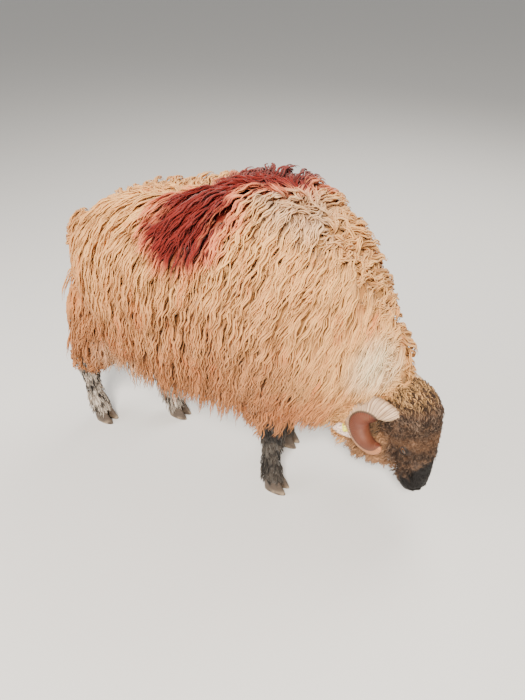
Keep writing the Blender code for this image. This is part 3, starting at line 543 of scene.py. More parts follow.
def lid_collar(side):
    """Points and quads of both lids of one eye."""
    centre, out, along, across = eye_axes(side)
    turn = HEAD.to_3x3()
    rows = []
    for half_long, half_high, lift in LID_ROWS + LID_SKIRT:
        row = []
        for k in range(LID_SIDES):
            angle = 2 * math.pi * k / LID_SIDES
            flat = along * (half_long * math.cos(angle)) + across * (half_high * math.sin(angle))
            reach = EYE_RADIUS + lift
            if (half_long, half_high, lift) in LID_SKIRT:
                start = HEAD @ (centre + flat + out * 0.1)
                place, normal, _, _ = head_tree.ray_cast(start, -(turn @ out))
                row.append(place + normal * lift)
            else:
                rise = math.sqrt(max(reach * reach - flat.length_squared, 0.0))
                row.append(HEAD @ (centre + flat + out * rise))
        rows.append(row)
    points = np.array([tuple(point) for row in rows for point in row])
    quads = ring_quads(len(rows), LID_SIDES)
    return points, quads if side > 0 else quads[:, ::-1]


head_tree = BVHTree.FromPolygons(head_points.tolist(), head_faces.tolist())
lids = [lid_collar(side) for side in (-1, 1)]
print("lids", [len(faces) for _, faces in lids], "faces")

# %% [markdown]
# Colour comes next, because the skin and the coat share it. The fleece is cream on the back, tan low
# on the flanks, peach in streaks, and grey where rain has matted it over the withers. A daub of red
# marking paint crosses the loin. All of this depends on the place on the body, so it is worked out
# from the position of each shaded point. What differs from strand to strand comes from two numbers
# stored on the coat: how far along its strand a point lies, and a random tint for the strand.

# %% Small helpers for shader nodes
class Shader:
    """Adds nodes to a material and links them."""

    def __init__(self, name):
        self.material = bpy.data.materials.new(name)
        self.material.use_nodes = True
        self.tree = self.material.node_tree
        self.surface = self.tree.nodes["Principled BSDF"]
        place = self.add("ShaderNodeTexCoord").outputs["Object"]
        shift = self.add("ShaderNodeVectorMath", operation="SUBTRACT")
        self.join(place, shift.inputs[0])
        shift.inputs[1].default_value = STAND
        self.place = shift.outputs[0]

    def add(self, kind, **settings):
        """A new node with these settings."""
        node = self.tree.nodes.new(kind)
        for key, value in settings.items():
            setattr(node, key, value)
        return node

    def join(self, value, socket):
        """Link an output to an input, or set the input to a number or colour."""
        if isinstance(value, bpy.types.NodeSocket):
            self.tree.links.new(value, socket)
        elif isinstance(value, tuple) and len(value) == 3 and len(socket.default_value) == 4:
            socket.default_value = (*value, 1.0)
        else:
            socket.default_value = value

    def sum(self, operation, *values):
        """One arithmetic step on numbers."""
        node = self.add("ShaderNodeMath", operation=operation)
        for value, socket in zip(values, node.inputs):
            self.join(value, socket)
        return node.outputs[0]

    def times(self, one, two):
        """Two numbers multiplied."""
        return self.sum("MULTIPLY", one, two)

    def plus(self, one, two):
        """Two numbers added."""
        return self.sum("ADD", one, two)

    def minus(self, one, two):
        """The second number taken from the first."""
        return self.sum("SUBTRACT", one, two)

    def off_middle(self, value, reach):
        """A number between 0 and 1 as a push either way, this far in all."""
        return self.times(self.minus(value, 0.5), reach)

    def ramp(self, value, low, high, start=0.0, end=1.0):
        """A smooth step of a number from start to end between low and high."""
        node = self.add("ShaderNodeMapRange", interpolation_type="SMOOTHSTEP")
        for item, socket in zip((value, low, high, start, end), node.inputs):
            self.join(item, socket)
        return node.outputs[0]

    def mix(self, share, one, two, blend="MIX"):
        """Two colours mixed by a share."""
        node = self.add("ShaderNodeMix", data_type="RGBA", blend_type=blend)
        self.join(share, node.inputs[0])
        self.join(one, node.inputs[6])
        self.join(two, node.inputs[7])
        return node.outputs[2]

    def noise(self, scale, detail=2.0, vector=None, stretch=None):
        """Smooth noise between 0 and 1, by default over the place on the body."""
        source = vector or self.place
        if stretch:
            bend = self.add("ShaderNodeVectorMath", operation="MULTIPLY")
            self.join(source, bend.inputs[0])
            bend.inputs[1].default_value = stretch
            source = bend.outputs[0]
        node = self.add("ShaderNodeTexNoise")
        self.join(source, node.inputs["Vector"])
        node.inputs["Scale"].default_value = scale
        node.inputs["Detail"].default_value = detail
        return node.outputs[0]

    def number(self, name):
        """A number stored on the mesh."""
        return self.add("ShaderNodeAttribute", attribute_name=name).outputs["Fac"]

    def part(self, axis):
        """One coordinate of the place on the body."""
        node = self.add("ShaderNodeSeparateXYZ")
        self.join(self.place, node.inputs[0])
        return node.outputs[axis]

    def reach(self, centre, sizes):
        """How far out a point lies in an oval ball: 1 on its surface."""
        node = self.add("ShaderNodeVectorMath", operation="SUBTRACT")
        self.join(self.place, node.inputs[0])
        node.inputs[1].default_value = centre
        share = self.add("ShaderNodeVectorMath", operation="DIVIDE")
        self.join(node.outputs[0], share.inputs[0])
        share.inputs[1].default_value = sizes
        length = self.add("ShaderNodeVectorMath", operation="LENGTH")
        self.join(share.outputs[0], length.inputs[0])
        return length.outputs["Value"]

    def bump(self, height, strength, distance):
        """Raise the surface by a height between 0 and 1."""
        node = self.add("ShaderNodeBump")
        node.inputs["Strength"].default_value = strength
        node.inputs["Distance"].default_value = distance
        self.join(height, node.inputs["Height"])
        self.join(node.outputs[0], self.surface.inputs["Normal"])

    def finish(self, colour, roughness):
        """Set the colour and roughness, and return the material."""
        self.join(colour, self.surface.inputs["Base Color"])
        self.join(roughness, self.surface.inputs["Roughness"])
        return self.material


def paint(red, green, blue):
    """A colour as a screen shows it, turned into the linear numbers that shaders use."""
    linear = []
    for value in (red, green, blue):
        value /= 255
        linear.append(value / 12.92 if value <= 0.04045 else ((value + 0.055) / 1.055) ** 2.4)
    return tuple(linear)


# %% [markdown]
# The colours are given as a screen shows them. Each of the three kinds of hair has a function that
# mixes them by the place on the body: wide noise for drifts, fine noise for streaks, and oval reaches
# for the patches.

# %% Colours of the coat
CREAM = paint(254, 196, 122)
PALE = paint(255, 232, 188)
TAN = paint(190, 126, 76)
PEACH = paint(214, 120, 62)
GREY_WOOL = paint(222, 186, 148)
DULL_TAN = paint(152, 112, 78)
JAW_TAN = paint(200, 150, 108)
RED_MARK = paint(120, 32, 25)
RED_EDGE = paint(222, 118, 84)
DARK_BROWN = paint(58, 44, 36)
GRIZZLE = paint(152, 126, 106)
BROW_TAN = paint(156, 114, 82)
FACE_BLACK = paint(14, 10, 9)
GREY_MUZZLE = paint(66, 56, 50)
# Near-black leg hair, made darker still as painted shade, since the forelegs stand in the shade of the neck.
SHANK_DARK = paint(27, 24, 23)
SHANK_WHITE = paint(214, 200, 184)
# How much of each of red, green and blue is left in the shade between strands and between fibres.
ROOT_SHADE = (0.29, 0.21, 0.16)
FIBRE_SHADE = (0.50, 0.43, 0.38)


def fleece_colour(shader, tip, tint):
    """The colour of the long wool at a place of the body."""
    height = shader.part(2)
    along = shader.part(0)
    drift = shader.noise(7.0, 3.0)
    streak = shader.noise(26.0, 2.0, stretch=(1.0, 1.0, 0.35))
    level = shader.plus(height, shader.off_middle(drift, 0.28))
    base = shader.mix(shader.ramp(level, 0.38, 0.98), TAN, CREAM)
    neck = shader.ramp(along, 0.02, 0.20, 0.0, 0.80)
    base = shader.mix(neck, base, CREAM)
    warm = shader.times(shader.ramp(streak, 0.50, 0.74), shader.ramp(tint, 0.15, 0.9))
    base = shader.mix(shader.times(warm, 0.72), base, PEACH)
    low_neck = shader.reach((0.13, -0.14, 0.36), (0.13, 0.12, 0.09))
    base = shader.mix(shader.ramp(low_neck, 0.4, 1.2, 0.4, 0.0), base, PEACH)
    pale = shader.reach((0.25, -0.04, 0.50), (0.09, 0.10, 0.10))
    base = shader.mix(shader.ramp(pale, 0.3, 1.2, 0.9, 0.0), base, PALE)
    thigh = shader.reach((-0.42, -0.10, 0.36), (0.14, 0.12, 0.12))
    base = shader.mix(shader.ramp(thigh, 0.6, 1.2, 0.55, 0.0), base, GREY_WOOL)
    matted = shader.reach((0.02, -0.02, 0.86), (0.16, 0.11, 0.08))
    matted = shader.plus(matted, shader.times(shader.noise(16.0, 3.0), 0.8))
    base = shader.mix(shader.ramp(matted, 0.9, 1.7, 0.75, 0.0), base, GREY_WOOL)
    base = shader.mix(shader.ramp(tint, 0.0, 1.0, 0.34, 0.0), base, TAN)
    # Painted shade: wool inside the near horn's coil is darkened to dark brown, as if in the coil's shadow.
    ahead, up = HORN_CENTRES[-1]
    coil = HEAD @ Vector((ahead, -0.066, up)) - STAND
    coil_shade = shader.reach(tuple(coil), (0.060, 0.046, 0.066))
    base = shader.mix(shader.ramp(coil_shade, 0.7, 1.15, 0.9, 0.0), base, DARK_BROWN)
    return red_mark(shader, base, tint)


def red_mark(shader, base, tint):
    """The daub of marking paint across the loin, laid over the wool's own colour."""
    across = shader.part(1)
    middle = shader.ramp(across, -0.070, 0.060, -0.190, -0.085)
    off = shader.sum("ABSOLUTE", shader.minus(shader.part(0), middle))
    rough = shader.off_middle(shader.noise(15.0, 3.0), 0.10)
    loose = shader.off_middle(tint, 0.030)
    half = shader.ramp(shader.part(2), 0.740, 0.805, 0.044, 0.104)
    off = shader.plus(shader.minus(off, half), shader.plus(rough, loose))
    above = shader.ramp(shader.plus(shader.part(2), rough), 0.728, 0.775)
    edge = shader.times(shader.ramp(off, -0.004, 0.036, 0.85, 0.0), above)
    core = shader.times(shader.ramp(off, -0.034, 0.004, 1.0, 0.0), above)
    return shader.mix(core, shader.mix(edge, base, RED_EDGE), RED_MARK)


def deepen(shader, colour, tip):
    """Darken a strand towards its root, where little light comes in."""
    shade = shader.ramp(tip, 0.0, 0.45, 0.30, 1.0)
    dark = shader.mix(1.0, colour, ROOT_SHADE, "MULTIPLY")
    return shader.mix(shade, dark, colour)


def strand_fibres(shader):
    """Fine fibres that run along a strand."""
    lines = shader.add("ShaderNodeUVMap", uv_map="strand").outputs[0]
    return shader.noise(1.0, 3.0, vector=lines, stretch=(9.0, 1.0, 1.0))


def head_height(shader):
    """How far a point lies down the head from the poll, in metres, and how far forward."""
    down = HEAD.to_3x3() @ Vector((0, 0, 1))
    front = HEAD.to_3x3() @ Vector((1, 0, 0))
    found = []
    for way in (down, front):
        offset = shader.add("ShaderNodeVectorMath", operation="SUBTRACT")
        shader.join(shader.place, offset.inputs[0])
        offset.inputs[1].default_value = HEAD.translation - STAND
        along = shader.add("ShaderNodeVectorMath", operation="DOT_PRODUCT")
        shader.join(offset.outputs[0], along.inputs[0])
        along.inputs[1].default_value = way
        found.append(along.outputs["Value"])
    return found


def face_colour(shader, tip, tint):
    """The colour of the head: grizzled brown curls, a black nose, tan cheeks and throat."""
    height, front = head_height(shader)
    mottle = shader.noise(60.0, 3.0)
    light = shader.times(shader.ramp(tint, 0.35, 1.0), shader.ramp(tip, 0.3, 1.0, 0.3, 1.0))
    base = shader.mix(light, DARK_BROWN, GRIZZLE)
    base = shader.mix(shader.ramp(mottle, 0.45, 0.7, 0.0, 0.25), base, BROW_TAN)
    poll = shader.ramp(height, -0.045, 0.0, 0.0, 0.55)
    base = shader.mix(shader.times(poll, shader.ramp(tint, 0.3, 0.8)), base, CREAM)
    # A tan band across the brow above the eyes: partly the hair's own tan, partly a painted highlight.
    brow = shader.times(shader.ramp(height, -0.165, -0.135), shader.ramp(height, -0.09, -0.12))
    base = shader.mix(shader.times(brow, 0.35), base, BROW_TAN)
    low_jaw = shader.times(shader.ramp(height, -0.275, -0.245), shader.ramp(height, -0.110, -0.150))
    jaw = shader.times(shader.ramp(front, -0.010, -0.045), low_jaw)
    base = shader.mix(shader.times(jaw, 0.95), base, shader.mix(tint, DULL_TAN, JAW_TAN))
    low = shader.plus(height, shader.off_middle(mottle, 0.03))
    low = shader.plus(low, shader.times(tint, 0.016))
    slant = shader.plus(low, shader.times(shader.minus(0.065, front), 1.1))
    nose = shader.times(shader.ramp(slant, -0.178, -0.200), shader.ramp(front, 0.010, 0.030))
    muzzle = shader.times(shader.ramp(low, -0.240, -0.268), shader.ramp(front, -0.024, -0.002))
    black = shader.mix(shader.ramp(tint, 0.6, 1.0, 0.0, 0.25), FACE_BLACK, GREY_MUZZLE)
    base = shader.mix(shader.sum("MAXIMUM", nose, muzzle), base, black)
    for side in (-1, 1):
        spot = HEAD @ Vector((EYE_PLACE.x + 0.006, side * (EYE_PLACE.y + 0.010), EYE_PLACE.z)) - STAND
        rim = shader.ramp(shader.reach(tuple(spot), (0.017, 0.017, 0.017)), 0.55, 1.1, 0.9, 0.0)
        base = shader.mix(rim, base, FACE_BLACK)
    return base


def shank_colour(shader, tip, tint):
    """The colour of the legs: dark hair with pale strands, paler on the hind shanks; the dark is partly
    painted shade.
    """
    rear = shader.ramp(shader.part(0), -0.30, -0.42)
    patch = shader.noise(22.0, 2.0)
    pale = shader.ramp(shader.plus(patch, shader.times(tint, 0.45)), 0.52, 0.86)
    amount = shader.times(pale, shader.sum("MULTIPLY_ADD", rear, 0.78, 0.12))
    base = shader.mix(amount, SHANK_DARK, SHANK_WHITE)
    top = shader.ramp(shader.part(2), 0.28, 0.38, 0.0, 0.75)
    return shader.mix(top, base, TAN)


# %% [markdown]
# A strand is darker at its root and between its fibres, where little light comes in. The skin has the
# same colours without strands, and fine bumps in their place: short hair, and pores on the wet nose.

# %% Materials of skin and coat
def coat_material(name, colouring, roughness, sheen):
    """Hair or wool, coloured by its place, its strand and how far along the strand it is."""
    shader = Shader(name)
    tip = shader.number("tip")
    tint = shader.number("tint")
    colour = deepen(shader, colouring(shader, tip, tint), tip)
    shader.surface.inputs["Sheen Weight"].default_value = sheen
    shader.surface.inputs["Sheen Roughness"].default_value = 0.5
    shader.surface.inputs["Sheen Tint"].default_value = (1.0, 0.95, 0.88, 1.0)
    shader.surface.inputs["Specular IOR Level"].default_value = 0.15
    fibres = strand_fibres(shader)
    dark = shader.mix(1.0, colour, FIBRE_SHADE, "MULTIPLY")
    colour = shader.mix(shader.ramp(fibres, 0.34, 0.62, 0.55, 0.0), colour, dark)
    shader.bump(fibres, 0.5, 0.0012)
    return shader.finish(colour, roughness)


def hide_material():
    """The skin under the coat: wool-coloured on the body, bare black on the nose."""
    shader = Shader("hide")
    grain = shader.noise(240.0, 2.0)
    tint = shader.noise(90.0, 2.0)
    wool = deepen(shader, fleece_colour(shader, 0.0, tint), 0.12)
    shank = shank_colour(shader, 0.5, tint)
    face = face_colour(shader, 0.4, tint)
    body = shader.mix(shader.ramp(shader.part(2), 0.26, 0.32), shank, wool)
    inside_head = shader.reach(tuple(HEAD @ Vector((0.0, 0.0, -0.16)) - STAND), (0.14, 0.14, 0.20))
    colour = shader.mix(shader.ramp(inside_head, 0.98, 1.02), face, body)
    height, _ = head_height(shader)
    wet = shader.ramp(height, -0.285, -0.300)
    pores = shader.add("ShaderNodeTexVoronoi")
    shader.join(shader.place, pores.inputs["Vector"])
    pores.inputs["Scale"].default_value = 420.0
    short_hair = shader.noise(1.0, 3.0, stretch=(900.0, 900.0, 160.0))
    relief = shader.mix(wet, short_hair, pores.outputs["Distance"])
    shader.surface.inputs["Specular IOR Level"].default_value = 0.25
    shader.bump(relief, 0.55, 0.0010)
    rough = shader.sum("MULTIPLY_ADD", wet, -0.22, shader.sum("MULTIPLY_ADD", grain, 0.15, 0.50))
    return shader.finish(colour, rough)


wool_look = coat_material("wool", fleece_colour, 0.85, 0.10)
face_look = coat_material("face_hair", face_colour, 0.75, 0.04)
shank_look = coat_material("leg_hair", shank_colour, 0.80, 0.06)
hide_look = hide_material()
print("materials", [wool_look.name, face_look.name, shank_look.name, hide_look.name])

# %% [markdown]
# Now the skin can be put together. Body, head and lids go into one mesh, which stands for all the
# solids of flesh, so no gap shows where neck meets head or leg meets trunk. The same arrays feed the
# search tree on which the coat will grow.

# %% The skin
def stacked(*shapes):
    """Several sets of points and faces as one."""
    points = np.vstack([points for points, _ in shapes])
    starts = np.cumsum([0] + [len(points) for points, _ in shapes[:-1]])
    return points, np.vstack([faces + start for (_, faces), start in zip(shapes, starts)])


skin_points, skin_faces = stacked((body_points, body_faces), (head_points, head_faces), *lids)
skin = array_object("hide", skin_points, skin_faces, hide_look)
flesh = ["torso", "neck", "head", "tail"] + ["leg_" + name for name in LEGS]
hang(skin, "face_hair", *flesh)
coat_points, coat_faces = stacked((body_points, body_faces), (head_points, head_faces))
coat_tree = BVHTree.FromPolygons(coat_points.tolist(), coat_faces.tolist())

# %% [markdown]
# Before the coat grows, everything hard is put in its place, because the wool has to leave it free:
# eyes, horns, ears, the tag and the hooves. They share a few helpers. Each is a row of rings joined by
# quads, and the eyes and horns carry their own flat map or numbers, so that a material can follow them.

# %% Rings, maps and numbers
def set_map(data, name, per_point):
    """A flat map on a mesh from one pair of numbers for each point."""
    layer = data.uv_layers.new(name=name)
    corners = np.empty(len(data.loops), np.int32)
    data.loops.foreach_get("vertex_index", corners)
    layer.uv.foreach_set("vector", per_point[corners].astype(np.float32).ravel())


def set_number(data, name, values):
    """One number for each point of a mesh."""
    data.attributes.new(name, "FLOAT", "POINT").data.foreach_set("value", values.astype(np.float32))


def closed(rings):
    """Points and quads of a skin over rings, each end drawn in to its own middle."""
    rings = [np.array([tuple(point) for point in ring]) for ring in rings]
    for place, ring in ((0, rings[0]), (len(rings) + 1, rings[-1])):
        middle = ring.mean(axis=0)
        rings.insert(place, middle + (ring - middle) * 0.02)
    points = np.vstack(rings)
    quads = ring_quads(len(rings), len(rings[0]))
    a, b, c = (points[quads[:, k]] - points.mean(axis=0) for k in (0, 1, 2))
    inside = np.einsum("ij,ij->i", a, np.cross(b, c)).sum() < 0
    return points, quads[:, ::-1] if inside else quads


# %% [markdown]
# A sheep's eye has an amber iris and a wide, level pupil. The eyeball carries a flat map of its own
# front, so that both can be drawn on it: an oval for the iris and a long slot for the pupil.

# %% Eyes
def eye_material():
    """Amber round a level, dark pupil, brown at the rim, wet all over."""
    shader = Shader("eye")
    lines = shader.add("ShaderNodeUVMap", uv_map="gaze").outputs[0]
    split = shader.add("ShaderNodeSeparateXYZ")
    shader.join(lines, split.inputs[0])
    along, across = split.outputs[0], split.outputs[1]
    square = shader.plus(shader.sum("POWER", along, 2.0), shader.sum("POWER", across, 2.0))
    away = shader.sum("SQRT", square)
    rays = shader.noise(3.0, 4.0, vector=lines, stretch=(1.0, 6.0, 1.0))
    amber = shader.mix(rays, paint(64, 38, 17), paint(116, 74, 34))
    iris = shader.mix(shader.ramp(away, 0.52, 0.66), amber, paint(42, 28, 20))
    long_way = shader.sum("POWER", shader.sum("DIVIDE", along, 0.44), 4.0)
    short_way = shader.sum("POWER", shader.sum("DIVIDE", across, 0.18), 4.0)
    slot = shader.ramp(shader.plus(long_way, short_way), 0.7, 1.3, 1.0, 0.0)
    shader.surface.inputs["Coat Weight"].default_value = 0.5
    shader.surface.inputs["Coat Roughness"].default_value = 0.03
    return shader.finish(shader.mix(slot, iris, (0.004, 0.003, 0.003)), 0.25)


def eyeball(side, look):
    """A fine ball with its flat map, its poles along the gaze."""
    centre, out, along, across = eye_axes(side)
    rows, sides = 24, 48
    rings, flat = [], []
    for row in range(1, rows):
        tilt = math.pi * row / rows
        ring = []
        for k in range(sides):
            turn = 2 * math.pi * k / sides
            a, b = math.sin(tilt) * math.cos(turn), math.sin(tilt) * math.sin(turn)
            ring.append(HEAD @ (centre + (along * a + across * b + out * math.cos(tilt)) * EYE_RADIUS))
            flat.append((a, b) if tilt < math.pi / 2 else (1.0, 0.0))
        rings.append(ring)
    points, quads = closed(rings)
    name = "eyeball_right" if side < 0 else "eyeball_left"
    ball = array_object(name, points, quads, look)
    set_map(ball.data, "gaze", np.vstack([np.zeros((sides, 2)), flat, np.ones((sides, 2))]))
    return hang(ball, "eye", "eye_right" if side < 0 else "eye_left")


eye_look = eye_material()
for side in (-1, 1):
    eyeball(side, eye_look)

# %% [markdown]
# The horns follow the same coil as the solids, but their growth rings are real: each is a low ridge
# with a sharp lower edge, and fine lines run between them; the colour is darkened at each sharp edge
# as painted shade. A horn grows out of the skull, so its base is carried on inwards until the curls of
# the forehead hide it. Its inner side is drawn in towards the middle of the coil as a smooth keel,
# coloured a dark red-brown as painted shade, with a dark line of painted shadow along its edge. The
# colour turns from greyish beige at the base to orange-brown at the tip.

# %% Horns
HORN_COIL_RADIUS = 0.056
HORN_TURNS = (math.radians(30), math.radians(332))
HORN_DRIFT = (0.056, 0.122)
HORN_RADII = (0.0265, 0.0070)
HORN_ROOT = -0.09
ROOT_DRIFT = 0.30
GROWTH_RINGS = 40
TIP_SHARE = 0.035
KEEL_STARTS, KEEL_FULL = 0.04, 0.18
KEEL_REACH = 0.95
KEEL_ASIDE = 0.30
HORN_CUTS, HORN_SIDES = 264, 32


def horn_middle(share, side):
    """The middle of a horn at a share of its length, the way out of its coil, and its radius."""
    angle = HORN_TURNS[0] + (HORN_TURNS[1] - HORN_TURNS[0]) * share
    out = Vector((math.cos(angle), 0.0, math.sin(angle)))
    drift = HORN_DRIFT[0] + (HORN_DRIFT[1] - HORN_DRIFT[0]) * math.sqrt(max(share, 0.0))
    drift += ROOT_DRIFT * min(share, 0.0)
    ahead, up = HORN_CENTRES[side]
    centre = Vector((ahead, side * drift, up)) + out * HORN_COIL_RADIUS
    radius = HORN_RADII[0] + (HORN_RADII[1] - HORN_RADII[0]) * max(share, 0.0) ** 3
    return centre, out, radius


def keel_depth(shares):
    """How far the inner side is drawn in at a share of the length, from 0 at the base to 1."""
    return np.clip((shares - KEEL_STARTS) / (KEEL_FULL - KEEL_STARTS), 0.0, 1.0)


def horn_ring(share, side):
    """Points round the horn at a share of its length, with a keel on the inner side of the coil."""
    centre, out, radius = horn_middle(share, side)
    beat = (share * GROWTH_RINGS) % 1.0
    radius *= 1 + 0.042 * (1 - 0.8 * share) * (beat**1.5 - 0.4)
    radius *= 1 + 0.018 * math.sin(share * 40) * (1 - share)
    if share > 1 - TIP_SHARE:
        radius *= math.sqrt(max(1 - ((share - 1 + TIP_SHARE) / TIP_SHARE) ** 2, 0.01))
    keel = float(keel_depth(share))
    points = []
    for k in range(HORN_SIDES):
        turn = 2 * math.pi * k / HORN_SIDES
        ridge = 1 + 0.05 * math.cos(3 * turn + 0.6)
        flat = Vector((0.0, 0.9 * math.sin(turn), 0.0)) + out * math.cos(turn)
        inner = max(-math.cos(turn), 0.0) * keel
        flat = flat * (1 + KEEL_REACH * inner) - Vector((0.0, side * KEEL_ASIDE * inner, 0.0))
        points.append(HEAD @ (centre + flat * radius * ridge))
    return points


def horn_material():
    """Greyish beige at the base, orange-brown at the tip, with lines across, and painted shade in the
    grooves and on the inner keel.
    """
    shader = Shader("horn")
    share = shader.number("share")
    lines = shader.add("ShaderNodeUVMap", uv_map="length").outputs[0]
    fine = shader.noise(1.0, 4.0, vector=lines, stretch=(150.0, 3.0, 1.0))
    stain = shader.noise(30.0, 3.0)
    base = shader.mix(shader.ramp(fine, 0.3, 0.7), paint(160, 128, 98), paint(222, 190, 156))
    tip = shader.mix(stain, paint(150, 84, 46), paint(206, 140, 88))
    colour = shader.mix(shader.ramp(share, 0.40, 0.85), base, tip)
    hollow = shader.number("hollow")
    # Painted shade: the inner keel, turned away from the light, is coloured a dark red-brown.
    keel_shade = shader.mix(stain, paint(66, 27, 16), paint(128, 66, 40))
    colour = shader.mix(shader.ramp(hollow, 0.16, 0.30), colour, keel_shade)
    # Painted shadow: a dark line where the keel meets the outer face.
    keel_shadow_line = shader.times(shader.ramp(hollow, 0.10, 0.20), shader.ramp(hollow, 0.34, 0.24))
    colour = shader.mix(shader.times(keel_shadow_line, 0.8), colour, paint(30, 16, 12))
    # Painted shade: the colour is darkened at the sharp step of each growth ring.
    beat = shader.sum("FRACT", shader.times(share, float(GROWTH_RINGS)))
    below, above = shader.ramp(beat, 0.0, 0.25, 0.8, 0.0), shader.ramp(beat, 0.9, 1.0, 0.0, 0.8)
    groove = shader.sum("MAXIMUM", below, above)
    colour = shader.mix(groove, colour, paint(112, 82, 60))
    colour = shader.mix(shader.ramp(stain, 0.55, 0.8, 0.0, 0.5), colour, paint(120, 88, 64))
    shader.bump(fine, 0.6, 0.0012)
    return shader.finish(colour, 0.62)


horn_look = horn_material()
for side, word in SIDES:
    shares = np.linspace(HORN_ROOT, 1.0, HORN_CUTS)
    points, quads = closed([horn_ring(share, side) for share in shares])
    horn = array_object("ringed_horn_" + word, points, quads, horn_look)
    shares = np.concatenate([shares[:1], shares, shares[-1:]])
    set_number(horn.data, "share", np.repeat(shares, HORN_SIDES))
    hollow = -np.cos(2 * math.pi * np.arange(HORN_SIDES) / HORN_SIDES)
    set_number(horn.data, "hollow", (keel_depth(shares)[:, None] * hollow).ravel())
    across = np.tile(np.arange(HORN_SIDES) / HORN_SIDES, HORN_CUTS + 2)
    set_map(horn.data, "length", np.stack([np.repeat(shares, HORN_SIDES), across], axis=1))
    hang(horn, "horn", "horn_" + word)

# %% [markdown]
# The ears are thin cupped leaves with a rounded rim and a bare, pink hollow, freckled with dark
# spots. Short hair will stand round their edge and on their back.

# %% Ears
EAR_LENGTH = 0.125
EAR_HALF_WIDTH = 0.027
EAR_THICKNESS = 0.0040
EAR_ROOT = (-0.062, 0.044, -0.128)
EAR_SWEEP = (-0.72, 0.69, 0.00)
EAR_BACK = (0.50, 0.55, 0.65)
EAR_ROWS = ((0.0, 0.40), (0.14, 0.55), (0.34, 0.92), (0.58, 1.0), (0.80, 0.70), (0.93, 0.34), (1.0, 0.04))


def ear_axes(side):
    """Root of an ear, and the directions along it, across it and out of its back."""
    root = Vector((EAR_ROOT[0], side * EAR_ROOT[1], EAR_ROOT[2]))
    along = Vector((EAR_SWEEP[0], side * EAR_SWEEP[1], EAR_SWEEP[2])).normalized()
    back = Vector((EAR_BACK[0], side * EAR_BACK[1], EAR_BACK[2]))
    back = (back - along * back.dot(along)).normalized()
    return root, along, back.cross(along) * side, back


def ear_rings(side, cuts, sides):
    """Rings along an ear: the back from edge to edge, then the hollow the other way."""
    root, along, across, back = ear_axes(side)
    rings = []
    for share, wide in smooth_rows(EAR_ROWS, cuts):
        half = EAR_HALF_WIDTH * max(wide, 0.03)
        cup = 0.45 * (1.0 - 0.5 * share)
        middle = root + along * (EAR_LENGTH * share * 0.985)
        ring = []
        for k in range(sides):
            turn = 2 * math.pi * k / sides
            over = math.cos(turn)
            bend = -(over * over) * half * cup
            thick = math.sin(turn) * EAR_THICKNESS / 2 * (1.0 - 0.35 * abs(over))
            fold = 0.0012 * math.cos(over * 9.0) * (1 if math.sin(turn) < 0 else 0)
            ring.append(HEAD @ (middle + across * (half * over) + back * (bend + thick + fold)))
        rings.append(ring)
    return rings


def ear_material():
    """Pink-white skin with dark freckles, downy on the back."""
    shader = Shader("ear_skin")
    soft = shader.noise(60.0, 3.0)
    spots = shader.noise(150.0, 1.0)
    base = shader.mix(soft, paint(236, 196, 176), paint(246, 226, 210))
    base = shader.mix(shader.ramp(spots, 0.64, 0.70), base, paint(96, 70, 58))
    shader.surface.inputs["Subsurface Weight"].default_value = 0.12
    shader.surface.inputs["Subsurface Scale"].default_value = 0.004
    shader.bump(shader.noise(500.0, 2.0), 0.3, 0.0006)
    return shader.finish(base, 0.6)


ear_look = ear_material()
ear_shapes = {}
for side, word in SIDES:
    ear_shapes[side] = closed(ear_rings(side, 6, 28))
    hang(array_object("leaf_ear_" + word, *ear_shapes[side], ear_look), "ear_skin", "ear_" + word)

# %% [markdown]
# The tag is one plain yellow plate of soft plastic with rounded corners and a thickened rim. A stud
# goes through plate and ear and ends in a small button behind it. All three are turned or lofted
# from rows of a size and a height over the ear's back.

# %% Ear tag
TAG_SIZE = (0.030, 0.024, 0.0020)
TAG_PLACE = 0.66
TAG_GAP = 0.0003
# Share of the plate's size, height over its middle.
PLATE_ROWS = (
    (0.94, -0.0010), (0.98, -0.0008), (1.0, -0.0004), (1.0, 0.0005), (0.975, 0.0009), (0.93, 0.0010),
    (0.89, 0.0008), (0.86, 0.0004), (0.40, 0.0004),
)
# Radius, height over the plate's middle.
STUD_ROWS = (
    (0.0019, -0.0100), (0.0054, -0.0096), (0.0056, -0.0086), (0.0050, -0.0080), (0.0019, -0.0076),
    (0.0019, 0.0002), (0.0048, 0.0004), (0.0053, 0.0010), (0.0050, 0.0018), (0.0034, 0.0024),
    (0.0014, 0.0030),
)


def tag_shape(side):
    """Points and quads of the plate and its stud."""
    root, along, across, back = ear_axes(side)
    middle = root + along * (EAR_LENGTH * TAG_PLACE)
    middle += back * (EAR_THICKNESS / 2 + TAG_GAP + TAG_SIZE[2] / 2)
    turn = HEAD.to_3x3()
    plate, stud = [], []
    for share, height in PLATE_ROWS:
        spot = HEAD @ (middle + back * height)
        half = [size / 2 * share for size in TAG_SIZE]
        plate.append(oval_ring(spot, turn @ across, turn @ along, half[1], half[0], 44, 5.0))
    for radius, height in STUD_ROWS:
        spot = HEAD @ (middle - along * 0.007 + back * height)
        stud.append(oval_ring(spot, turn @ across, turn @ along, radius, radius, 28))
    return stacked(closed(plate), closed(stud))


def tag_material():
    """Soft yellow plastic, scuffed and a little dirty."""
    shader = Shader("yellow_tag")
    dirt = shader.noise(160.0, 4.0)
    scuff = shader.noise(700.0, 2.0, stretch=(1.0, 0.2, 1.0))
    base = shader.mix(shader.ramp(dirt, 0.50, 0.72), paint(232, 226, 40), paint(182, 166, 44))
    base = shader.mix(shader.ramp(scuff, 0.56, 0.70, 0.0, 0.4), base, paint(246, 240, 150))
    shader.bump(scuff, 0.2, 0.0003)
    return shader.finish(base, shader.ramp(dirt, 0.3, 0.8, 0.35, 0.6))


hang(array_object("plate_tag", *tag_shape(-1), tag_material()), "tag", "ear_tag")

